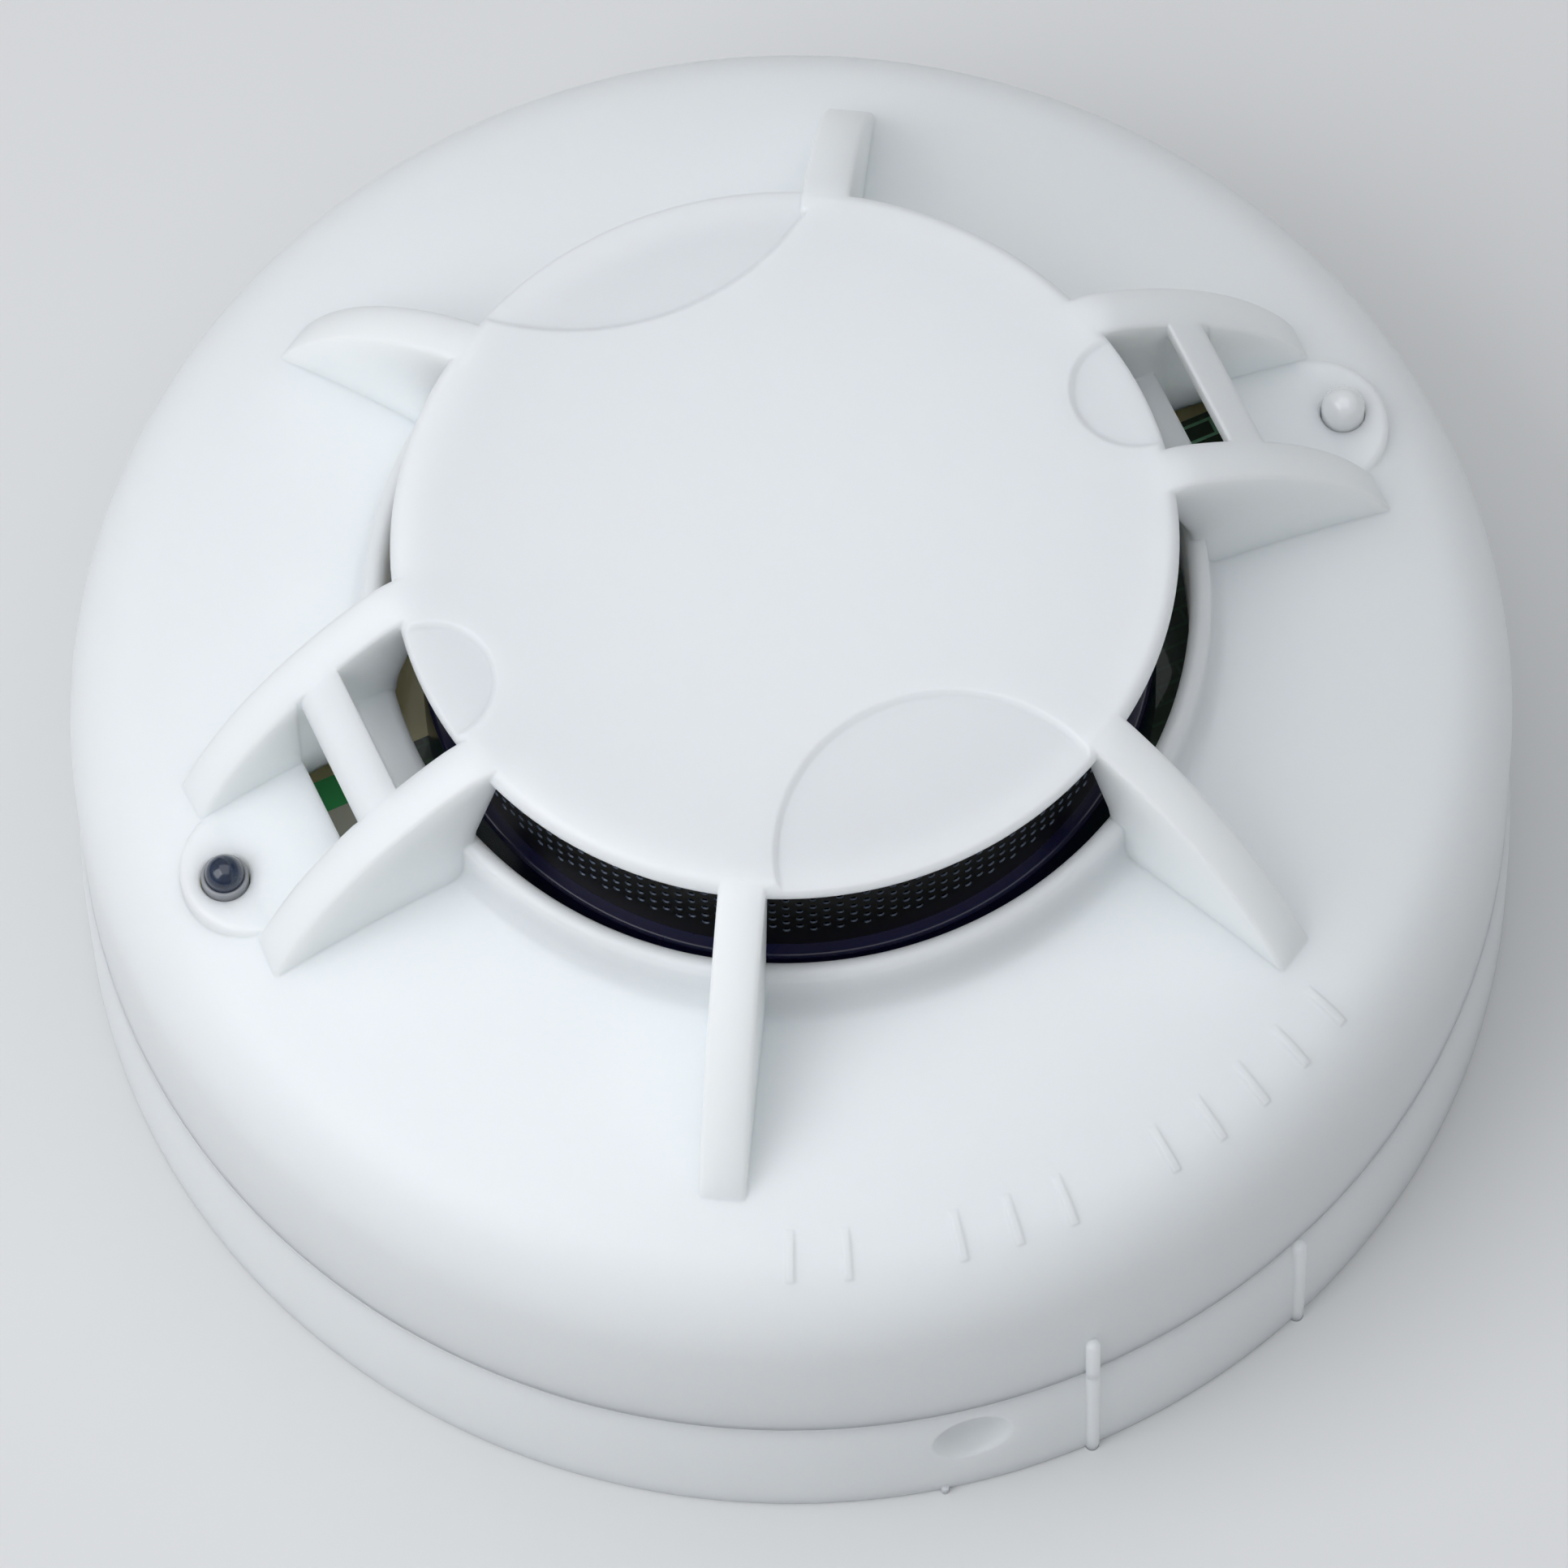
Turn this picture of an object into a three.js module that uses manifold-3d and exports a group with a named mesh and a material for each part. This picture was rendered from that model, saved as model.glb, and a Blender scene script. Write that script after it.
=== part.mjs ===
// Ceiling-mounted optical smoke and heat detector on its twist-lock mounting base.
// Millimetres, +Z up. The origin is the centre of the mounting face, and the sensing
// face looks along +Z, so the part lies here as it does on a bench.
import * as THREE from 'three';
import { mergeVertices } from 'three/addons/utils/BufferGeometryUtils.js';
import Module from 'manifold-3d';

const wasm = await Module();
wasm.setup();

// ---------------------------------------------------------------- driving dimensions
const GAP = 0.3;                 // running and seating gap between separate pieces
const WALL = 2.2;                // moulded wall of cover and base
const BASE_RADIUS = 50.4;
const BASE_HEIGHT = 12.3;
const HEAD_RADIUS = 50.0;
const SHOULDER_ROUND = 8.0;      // radius that turns the skirt into the shoulder
const SHOULDER_ROUND_Z = 24.06;  // height of that radius's centre
const SHOULDER_EDGE_ANGLE = 67;  // degrees round it where the shoulder's slope begins
const RIM_RADIUS = 27.5;         // inside of the raised rim round the smoke entry
const RIM_WIDTH = 1.45;
const RIM_TOP = 40.35;
const CAP_RADIUS = 26.7;
const CAP_TOP = 49.95;
const CAP_UNDERSIDE = 47.95;
const ARM_AZIMUTH = 22.5;        // the first double arm
const SINGLE_STEP = 59.3;        // from a double arm to the single rib beside it
const RIB_THICKNESS = 3.0;
const TWIN_RIB_OFFSET = 6.5;     // centre of each rib of a double arm from its centre line
const LAMP_RADIUS_AT = 42.25;    // lamps stand this far out on the double arms
const LAMP_DIAMETER = 3.0;
const BOSS_AT = 40.1;            // centre and top of the round lamp boss
const BOSS_RADIUS = 5.1;
const BOSS_TOP = 33.0;
const BOARD_RADIUS = 44.6;
const BOARD_BOTTOM = 25.4;
const BOARD_THICKNESS = 1.6;
const BOARD_TOP = BOARD_BOTTOM + BOARD_THICKNESS;
const SCREEN_RADIUS = 24.3;      // outside of the insect screen
const CHAMBER_RADIUS = 25.3;     // outside of the chamber base, whose top is the screen's ledge
const LEDGE_TOP = 36.0;
const REAR_BOTTOM = 13.2;        // disc that closes the head from behind
const REAR_THICKNESS = 2.2;
const REAR_TOP = REAR_BOTTOM + REAR_THICKNESS;
const TWIST_ANGLE = 19.8;        // from locked to released, between the two side marks
const LOCKED_MARK_AZIMUTH = 292.0;
const POST_CIRCLE = 31.6;        // cover screw posts
const POST_AZIMUTHS = [75, 175, 275];
const CONTACT_CIRCLE = 37.5;     // terminals and contacts
const TERMINAL_AZIMUTHS = [20, 110, 200, 290];
const CABLE_HOLE_RADIUS = 14;
const DEG = Math.PI / 180;

// ---------------------------------------------------------------- geometry helpers
function signedVolume(position, triangles) {
  let six = 0;
  const [a, b, c] = [new THREE.Vector3(), new THREE.Vector3(), new THREE.Vector3()];
  for (let i = 0; i < triangles.length; i += 3) {
    a.fromArray(position, 3 * triangles[i]);
    b.fromArray(position, 3 * triangles[i + 1]);
    c.fromArray(position, 3 * triangles[i + 2]);
    six += a.dot(b.cross(c));
  }
  return six / 6;
}

// A closed geometry as a solid: shared corners merged, collapsed pole triangles
// dropped, and faces turned outwards.
function solid(geometry) {
  const bare = geometry.clone();
  bare.deleteAttribute('normal');
  bare.deleteAttribute('uv');
  const merged = mergeVertices(bare, 1e-4);
  const position = Float32Array.from(merged.attributes.position.array);
  const index = merged.index.array;
  const triangles = [];
  for (let i = 0; i < index.length; i += 3) {
    const [a, b, c] = [index[i], index[i + 1], index[i + 2]];
    if (a !== b && b !== c && c !== a) triangles.push(a, b, c);
  }
  if (signedVolume(position, triangles) < 0) triangles.reverse();
  const mesh = new wasm.Mesh({
    numProp: 3, vertProperties: position, triVerts: Uint32Array.from(triangles),
  });
  return new wasm.Manifold(mesh);
}

function geometryOf(body) {
  const mesh = body.getMesh();
  const geometry = new THREE.BufferGeometry();
  geometry.setAttribute('position', new THREE.BufferAttribute(mesh.vertProperties, 3));
  geometry.setIndex(new THREE.BufferAttribute(mesh.triVerts, 1));
  geometry.computeVertexNormals();
  return geometry;
}

function joined(solids) {
  return solids.reduce((sum, next) => sum.add(next));
}

// A profile of [radius, height] pairs spun about +Z. It closes on itself unless both
// ends lie on the axis.
function turned(profile, segments) {
  const points = profile.map(([radius, height]) => new THREE.Vector2(radius, height));
  const onAxis = profile[0][0] === 0 && profile[profile.length - 1][0] === 0;
  if (!onAxis) points.push(points[0].clone());
  return new THREE.LatheGeometry(points, segments).rotateX(Math.PI / 2);
}

function cylinder(radius, bottom, top, segments = 20) {
  return turned([[0, bottom], [radius, bottom], [radius, top], [0, top]], segments);
}

function ring(inner, outer, bottom, top, segments = 48) {
  return turned([[inner, bottom], [outer, bottom], [outer, top], [inner, top]], segments);
}

// A box between two corners.
function block(x, y, z) {
  const geometry = new THREE.BoxGeometry(x[1] - x[0], y[1] - y[0], z[1] - z[0]);
  return geometry.translate((x[0] + x[1]) / 2, (y[0] + y[1]) / 2, (z[0] + z[1]) / 2);
}

// An outline of [out, up] pairs, made a plate that stands on edge along +X.
function uprightPlate(outline, thickness) {
  const shape = new THREE.Shape(outline.map(([x, y]) => new THREE.Vector2(x, y)));
  const plate = new THREE.ExtrudeGeometry(shape, { depth: thickness, bevelEnabled: false });
  return plate.rotateX(Math.PI / 2).translate(0, thickness / 2, 0);
}

// An outline in plan, made a plate from one height to another.
function flatPlate(shape, bottom, top, curveSegments = 16) {
  const options = { depth: top - bottom, bevelEnabled: false, curveSegments };
  return new THREE.ExtrudeGeometry(shape, options).translate(0, 0, bottom);
}

// A sector of a ring in plan, centred on +X.
function ringSector(inner, outer, halfAngle, bottom, top, steps = 4) {
  const shape = new THREE.Shape();
  for (let i = 0; i <= steps; i++) {
    const angle = (-1 + (2 * i) / steps) * halfAngle * DEG;
    const [x, y] = [outer * Math.cos(angle), outer * Math.sin(angle)];
    if (i === 0) shape.moveTo(x, y);
    else shape.lineTo(x, y);
  }
  for (let i = steps; i >= 0; i--) {
    const angle = (-1 + (2 * i) / steps) * halfAngle * DEG;
    shape.lineTo(inner * Math.cos(angle), inner * Math.sin(angle));
  }
  return flatPlate(shape, bottom, top);
}

function turn(geometry, azimuth) {
  return geometry.rotateZ(azimuth * DEG);
}

function arc(centre, radius, fromDegrees, toDegrees, steps) {
  return Array.from({ length: steps + 1 }, (_, i) => {
    const angle = (fromDegrees + ((toDegrees - fromDegrees) * i) / steps) * DEG;
    return [centre[0] + radius * Math.cos(angle), centre[1] + radius * Math.sin(angle)];
  });
}

function bend(start, control, end, steps) {
  const curve = new THREE.QuadraticBezierCurve(
    new THREE.Vector2(...start), new THREE.Vector2(...control), new THREE.Vector2(...end));
  return curve.getPoints(steps).map((point) => [point.x, point.y]);
}

// ---------------------------------------------------------------- finishes
const finish = {
  whiteAbs: { color: '#e6ebf0', roughness: 0.42, metalness: 0 },
  blackAbs: { color: '#101013', roughness: 0.35, metalness: 0 },
  screenMesh: { color: '#16171a', roughness: 0.5, metalness: 0.2 },
  boardGreen: { color: '#1d6b33', roughness: 0.45, metalness: 0 },
  packageBlack: { color: '#202124', roughness: 0.6, metalness: 0 },
  canAluminium: { color: '#b9bcc0', roughness: 0.35, metalness: 1 },
  clearLens: { color: '#d9dadd', roughness: 0.2, metalness: 0 },
  smokedLens: { color: '#1b2233', roughness: 0.15, metalness: 0 },
  glassBead: { color: '#3a2f26', roughness: 0.3, metalness: 0 },
  springBronze: { color: '#b9975b', roughness: 0.35, metalness: 1 },
  platedBrass: { color: '#c9b47a', roughness: 0.3, metalness: 1 },
  platedSteel: { color: '#b4b7bb', roughness: 0.3, metalness: 1 },
  tinplate: { color: '#c2c5c8', roughness: 0.4, metalness: 1 },
};

const detector = new THREE.Group();

function place(name, body, look) {
  const mesh = new THREE.Mesh(geometryOf(body), new THREE.MeshStandardMaterial(finish[look]));
  mesh.name = name;
  detector.add(mesh);
}

// ---------------------------------------------------------------- cover of the head
const SHOULDER_ARC = [HEAD_RADIUS - SHOULDER_ROUND, SHOULDER_ROUND_Z];
const SHOULDER_FOOT = [30.2, 35.7];     // where the shoulder meets the rim's fillet
const SHOULDER_CONTROL = [37.7, 34.57];
const SKIRT_BOTTOM = BASE_HEIGHT + GAP;

// The crest of an arm falls from the cap to the shoulder on one arc.
const CREST_CENTRE = [10.9, 19.3];
const CREST_RADIUS = 33.8;

function crestHeight(out) {
  return CREST_CENTRE[1] + Math.sqrt(CREST_RADIUS ** 2 - (out - CREST_CENTRE[0]) ** 2);
}

function coverShell() {
  const edge = SHOULDER_EDGE_ANGLE;
  const rimOutside = RIM_RADIUS + RIM_WIDTH;
  const outside = arc(SHOULDER_ARC, SHOULDER_ROUND, 0, edge, 5);
  const slope = bend(outside[outside.length - 1], SHOULDER_CONTROL, SHOULDER_FOOT, 3);
  const fillet = bend(SHOULDER_FOOT, [rimOutside + 0.1, 35.9], [rimOutside, 37.7], 2);
  const bead = arc([RIM_RADIUS + RIM_WIDTH / 2, RIM_TOP - RIM_WIDTH / 2], RIM_WIDTH / 2, 0, 180, 4);
  const inside = arc(SHOULDER_ARC, SHOULDER_ROUND - WALL, edge, 0, 3);
  const underSlope = slope.slice(1).map(([r, z]) => [r - 0.5, z - WALL - 0.15]).reverse();
  return turned([
    [HEAD_RADIUS, SKIRT_BOTTOM], ...outside, ...slope.slice(1), ...fillet.slice(1), ...bead,
    [RIM_RADIUS, SHOULDER_FOOT[1] - WALL - 0.15], ...underSlope, ...inside,
    [HEAD_RADIUS - WALL, SKIRT_BOTTOM],
  ], 64);
}

function coverCap() {
  return turned([
    [0, CAP_TOP], [20, CAP_TOP - 0.1], [25.3, CAP_TOP - 0.3], [26.3, CAP_TOP - 0.7],
    [CAP_RADIUS, CAP_TOP - 1.4], [CAP_RADIUS, CAP_UNDERSIDE], [0, CAP_UNDERSIDE],
  ], 56);
}

// One rib: it grips the cap, spans the smoke entry and runs down into the shoulder.
function rib(azimuth, offset) {
  const capGrip = 25.0;
  const tip = 42.2;
  const onCircle = (radius) => Math.sqrt(radius ** 2 - offset ** 2);
  const crest = Array.from({ length: 9 }, (_, i) => {
    const out = 25.6 + ((tip - 25.6) * i) / 8;
    return [out, crestHeight(out)];
  });
  const outline = [
    [capGrip, CAP_TOP - 0.75], ...crest, [tip, 31.0], [36, 33.0], [28.3, 34.6],
    [onCircle(27.7), RIM_TOP - 0.8], [onCircle(27.5), 41.6],
  ];
  return solid(turn(uprightPlate(outline, RIB_THICKNESS).translate(0, offset, 0), azimuth));
}

const LENS_RECESSES = [
  { centre: [10.57, -24.83], radius: 12.8 },
  { centre: [-13.56, 35.61], radius: 20.0 },
];
const RECESS_DEPTH = 0.45;
const WINDOW = [31.0, 33.8];       // slot below each crossbar, down to the board
const CROSSBAR_DEPTH = 2.0;

function coverBody() {
  const doubles = [ARM_AZIMUTH, ARM_AZIMUTH + 180];
  const singles = doubles.flatMap((azimuth) => [azimuth - SINGLE_STEP, azimuth + SINGLE_STEP]);
  const halfGap = TWIN_RIB_OFFSET - RIB_THICKNESS / 2;
  const body = [solid(coverShell()), solid(coverCap())];
  singles.forEach((azimuth) => body.push(rib(azimuth, 0)));
  doubles.forEach((azimuth) => {
    body.push(rib(azimuth, TWIN_RIB_OFFSET), rib(azimuth, -TWIN_RIB_OFFSET));
    const boss = cylinder(BOSS_RADIUS, 28.6, BOSS_TOP, 24).translate(BOSS_AT, 0, 0);
    body.push(solid(turn(boss, azimuth)));
  });
  POST_AZIMUTHS.forEach((azimuth) => {
    const post = cylinder(3.2, REAR_TOP + GAP, 33.2, 10).translate(POST_CIRCLE, 0, 0);
    body.push(solid(turn(post, azimuth)));
  });
  let cover = joined(body);
  doubles.forEach((azimuth) => {
    const window = block(WINDOW, [-halfGap, halfGap], [26, 39]);
    const holeRadius = LAMP_DIAMETER / 2 + GAP;
    const lampHole = cylinder(holeRadius, 26, 36, 14).translate(LAMP_RADIUS_AT, 0, 0);
    const recess = cylinder(5.2, CAP_TOP - 0.3 - RECESS_DEPTH, 52, 18).translate(26.4, 0, 0);
    const [near, far] = WINDOW;
    const bar = [
      [near, crestHeight(near) - CROSSBAR_DEPTH], [far, crestHeight(far) - CROSSBAR_DEPTH],
      [far, crestHeight(far)], [near, crestHeight(near)],
    ];
    const crossbar = solid(turn(uprightPlate(bar, 2 * halfGap + 1), azimuth));
    cover = cover.subtract(solid(turn(window, azimuth))).subtract(solid(turn(lampHole, azimuth)));
    const ribClear = block([20, 40], [-halfGap, halfGap], [CAP_UNDERSIDE - 0.1, 52]);
    const scoop = solid(turn(recess, azimuth)).intersect(solid(turn(ribClear, azimuth)));
    cover = cover.subtract(scoop).add(crossbar);
  });
  LENS_RECESSES.forEach(({ centre, radius }) => {
    const lens = cylinder(radius, CAP_TOP - 0.25 - RECESS_DEPTH, 52, 36).translate(...centre, 0);
    const capDisc = cylinder(CAP_RADIUS + 0.5, CAP_UNDERSIDE, 53, 32);
    const ribs = singles.map((azimuth) => rib(azimuth, 0));
    cover = cover.subtract(ribs.reduce((cut, next) => cut.subtract(next),
      solid(lens).intersect(solid(capDisc))));
  });
  POST_AZIMUTHS.forEach((azimuth) => {
    const pilot = cylinder(1.5, REAR_TOP, 27, 10).translate(POST_CIRCLE, 0, 0);
    cover = cover.subtract(solid(turn(pilot, azimuth)));
  });
  const mark = solid(turn(
    cylinder(0.65, SKIRT_BOTTOM, 17.7, 8).translate(HEAD_RADIUS, 0, 0), LOCKED_MARK_AZIMUTH));
  return cover.add(mark);
}

place('detector_cover', coverBody(), 'whiteAbs');

// ---------------------------------------------------------------- optical chamber
const FLANGE_BOTTOM = BOARD_TOP + 0.4;
const SCREEN_TOP = 45.9;

function chamberBase() {
  const dish = turned([
    [0, FLANGE_BOTTOM + 0.2], [22, FLANGE_BOTTOM + 0.2], [22, FLANGE_BOTTOM],
    [CHAMBER_RADIUS, FLANGE_BOTTOM], [CHAMBER_RADIUS, LEDGE_TOP], [22.8, LEDGE_TOP],
    [22.8, 31.0], [0, 31.0],
  ], 44);
  let base = solid(dish);
  const vanes = 12;
  for (let i = 0; i < vanes; i++) {
    const vane = block([-2.4, 2.4], [-0.4, 0.4], [30.5, 45.4]).rotateZ(50 * DEG).translate(20.2, 0, 0);
    base = base.add(solid(turn(vane, (360 / vanes) * i)));
  }
  [0, 135].forEach((azimuth) => {
    const seat = block([7.6, 15.6], [-4.2, 4.2], [30.5, 38.2]);
    const bore = new THREE.CylinderGeometry(2.9, 2.9, 10, 12).rotateZ(90 * DEG).translate(11, 0, 34.6);
    base = base.add(solid(turn(seat, azimuth))).subtract(solid(turn(bore, azimuth)));
  });
  return base;
}

place('chamber_base', chamberBase(), 'blackAbs');
place('chamber_lid', solid(turned([
  [0, 45.8], [SCREEN_RADIUS - 1, 45.8], [SCREEN_RADIUS - 1, SCREEN_TOP + GAP],
  [CHAMBER_RADIUS - 0.3, SCREEN_TOP + GAP], [CHAMBER_RADIUS - 0.3, 47.55], [0, 47.55],
], 44)), 'blackAbs');
place('insect_screen', solid(ring(
  SCREEN_RADIUS - 0.5, SCREEN_RADIUS, LEDGE_TOP + GAP, SCREEN_TOP, 44)), 'screenMesh');

// The emitter and the photodiode look into the chamber at 135 degrees to each other.
function lampOnSide(radius, length, azimuth, at, height) {
  const body = new THREE.CylinderGeometry(radius, radius, length, 14).rotateZ(90 * DEG);
  return solid(turn(body.translate(at, 0, height), azimuth));
}

place('infrared_emitter', lampOnSide(2.5, 6.5, 0, 11, 34.6), 'clearLens');
place('photodiode', lampOnSide(2.5, 5.5, 135, 11, 34.6), 'smokedLens');
place('photodiode_shield', solid(turn(
  block([16.0, 16.5], [-4.2, 4.2], [31.4, 39.0]), 135)), 'tinplate');

// ---------------------------------------------------------------- circuit board
const BOARD_PILLAR_AZIMUTHS = [125, 225, 325];
const STUD_AZIMUTHS = TERMINAL_AZIMUTHS.map((azimuth) => azimuth + 28);

function board() {
  let plate = solid(cylinder(BOARD_RADIUS, BOARD_BOTTOM, BOARD_TOP, 48));
  POST_AZIMUTHS.forEach((azimuth) => {
    const hole = cylinder(3.6, BOARD_BOTTOM - 1, BOARD_TOP + 1, 12).translate(POST_CIRCLE, 0, 0);
    plate = plate.subtract(solid(turn(hole, azimuth)));
  });
  return plate;
}

place('circuit_board', board(), 'boardGreen');

function chip(centre, length, width, bottom, top, leads, azimuth) {
  const body = block([-length / 2, length / 2], [-width / 2, width / 2], [bottom, top]);
  let packageBody = solid(body);
  for (let i = 0; i < leads; i++) {
    const x = -length / 2 + (length * (i + 0.5)) / leads;
    const reach = width / 2 + 0.9;
    const lead = block([x - 0.2, x + 0.2], [-reach, reach], [bottom + 0.3, bottom + 0.5]);
    packageBody = packageBody.add(solid(lead));
  }
  return packageBody.rotate([0, 0, azimuth]).translate([...centre, 0]);
}

const UNDER = BOARD_BOTTOM - GAP;
place('controller_chip', chip([-6, -20], 8.6, 3.9, UNDER - 1.8, UNDER, 7, 20), 'packageBlack');
place('amplifier_chip', chip([16, 10], 4.9, 3.9, UNDER - 1.8, UNDER, 4, 110), 'packageBlack');
place('surge_suppressor', chip([-20, 12], 4.6, 2.7, UNDER - 2.2, UNDER, 1, 60), 'packageBlack');
place('storage_capacitor',
  solid(cylinder(3.15, UNDER - 7.2, UNDER, 24).translate(8, -22, 0)), 'canAluminium');
place('filter_capacitor',
  solid(cylinder(2.0, UNDER - 5.4, UNDER, 20).translate(-5, 24, 0)), 'canAluminium');

function pinHeader(pins, pitch) {
  const strip = solid(block([0, pins * pitch], [-1.2, 1.2], [UNDER - 2.5, UNDER]));
  const pegs = Array.from({ length: pins }, (_, i) => solid(
    block([pitch * (i + 0.5) - 0.3, pitch * (i + 0.5) + 0.3], [-0.3, 0.3], [UNDER - 7, UNDER - 2])));
  return joined([strip, ...pegs]).translate([16, -14, 0]);
}

place('programming_header', pinHeader(4, 2.54), 'packageBlack');

// A lamp: dome, body and flange, with two legs down to the board.
function lamp(azimuth) {
  const radius = LAMP_DIAMETER / 2;
  const domeCentre = 33.6;
  const dome = arc([0, domeCentre], radius, 0, 90, 5);
  dome[dome.length - 1][0] = 0;
  const body = [
    [0, 30.1], [radius + 0.05, 30.1], [radius + 0.05, 31.0], [radius, 31.0], ...dome,
  ];
  const legs = [-1.27, 1.27].map((y) => solid(
    block([-0.25, 0.25], [y / 1.6 - 0.25, y / 1.6 + 0.25], [BOARD_TOP + GAP, 30.5])));
  const whole = joined([solid(turned(body, 14)), ...legs]);
  return whole.translate([LAMP_RADIUS_AT, 0, 0]).rotate([0, 0, azimuth]);
}

place('alarm_lamp', lamp(ARM_AZIMUTH), 'clearLens');
place('status_lamp', lamp(ARM_AZIMUTH + 180), 'smokedLens');

// The thermistor stands in the smoke entry, where room air passes over it.
function thermistor() {
  const bead = new THREE.SphereGeometry(0.9, 10, 6).rotateX(Math.PI / 2).translate(0, 0, 39.6);
  const legs = [-0.45, 0.45].map((y) => solid(
    block([-0.18, 0.18], [y - 0.18, y + 0.18], [BOARD_TOP + GAP, 39.4])));
  return joined([solid(bead), ...legs]).translate([26.4, 0, 0]).rotate([0, 0, 112.5]);
}

place('thermistor', thermistor(), 'glassBead');

// ---------------------------------------------------------------- rear of the head
const LUG_AZIMUTHS = [0, 120, 240];
const LUG_HALF_ANGLE = 6;
const LUG_BOTTOM = 7.9;
const LUG_TOP = 9.9;
const COLLAR_RADIUS = 45.2;

function rearHousing() {
  let body = solid(cylinder(HEAD_RADIUS - WALL - GAP, REAR_BOTTOM, REAR_TOP, 56));
  body = body.add(solid(ring(COLLAR_RADIUS - 1.6, COLLAR_RADIUS, LUG_BOTTOM, REAR_BOTTOM + 0.5, 56)));
  LUG_AZIMUTHS.forEach((azimuth) => {
    const lug = ringSector(COLLAR_RADIUS - 0.8, 47.4, LUG_HALF_ANGLE, LUG_BOTTOM, LUG_TOP);
    body = body.add(solid(turn(lug, azimuth)));
  });
  BOARD_PILLAR_AZIMUTHS.forEach((azimuth) => {
    const pillar = cylinder(2.5, REAR_TOP - 0.5, BOARD_BOTTOM - GAP, 10).translate(31, 0, 0);
    body = body.add(solid(turn(pillar, azimuth)));
  });
  POST_AZIMUTHS.forEach((azimuth) => {
    const hole = cylinder(1.7, REAR_BOTTOM - 1, REAR_TOP + 1, 10).translate(POST_CIRCLE, 0, 0);
    body = body.subtract(solid(turn(hole, azimuth)));
  });
  STUD_AZIMUTHS.forEach((azimuth) => {
    const hole = cylinder(1.6, REAR_BOTTOM - 1, REAR_TOP + 1, 10).translate(CONTACT_CIRCLE, 0, 0);
    body = body.subtract(solid(turn(hole, azimuth)));
  });
  return body;
}

place('rear_housing', rearHousing(), 'whiteAbs');

// Pan-head thread-forming screws, driven from behind into the cover's posts.
function housingScrew(azimuth) {
  const screw = turned([
    [0, 11.6], [1.8, 11.6], [2.5, 12.0], [2.5, REAR_BOTTOM - GAP], [1.2, REAR_BOTTOM - GAP],
    [1.2, 23.5], [0, 24.5],
  ], 12);
  const slot = block([-1.9, 1.9], [-0.3, 0.3], [11, 12.1]);
  return solid(screw).subtract(solid(slot)).translate([POST_CIRCLE, 0, 0]).rotate([0, 0, azimuth]);
}

POST_AZIMUTHS.forEach((azimuth, i) => {
  place(`housing_screw_${i + 1}`, housingScrew(azimuth), 'platedSteel');
});

// A contact blade is a stamped strip, clenched under the rear housing by its stud. Its
// tongue drops to the height of the base's spring.
const BLADE_TOP = 9.9;
const BLADE_THICKNESS = 0.8;
const STRIP_WIDTH = 6;

function contactBlade() {
  const shape = [
    [-3.2, 12.1], [3.0, 12.1], [4.6, 9.1], [8.6, 9.1], [9.4, 9.6], [9.0, BLADE_TOP],
    [5.1, BLADE_TOP], [3.4, 12.9], [-3.2, 12.9],
  ];
  const strip = uprightPlate(shape, STRIP_WIDTH);
  const hole = cylinder(1.8, 11, 14, 10);
  return solid(strip).subtract(solid(hole));
}

const contactStud = solid(turned([
  [0, 10.9], [2.2, 10.9], [2.5, 11.2], [2.5, 11.8], [1.3, 11.8], [1.3, BOARD_BOTTOM - GAP],
  [0, BOARD_BOTTOM - GAP],
], 10));

// Strips lie along the circle, so they are turned a quarter turn from the radius.
function alongCircle(body, azimuth) {
  return body.rotate([0, 0, 90]).translate([CONTACT_CIRCLE, 0, 0]).rotate([0, 0, azimuth]);
}

STUD_AZIMUTHS.forEach((azimuth, i) => {
  place(`contact_blade_${i + 1}`, alongCircle(contactBlade().mirror([1, 0, 0]), azimuth), 'platedBrass');
  place(`contact_stud_${i + 1}`, alongCircle(contactStud, azimuth), 'platedBrass');
});

// ---------------------------------------------------------------- mounting base
const FLOOR = 2.2;
const RING_INSIDE = BASE_RADIUS - 2.5;
const LEDGE_HALF_ANGLE = 7;
const PAD_TOP = 6.4;
const MARK_RADIUS = 0.65;

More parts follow.
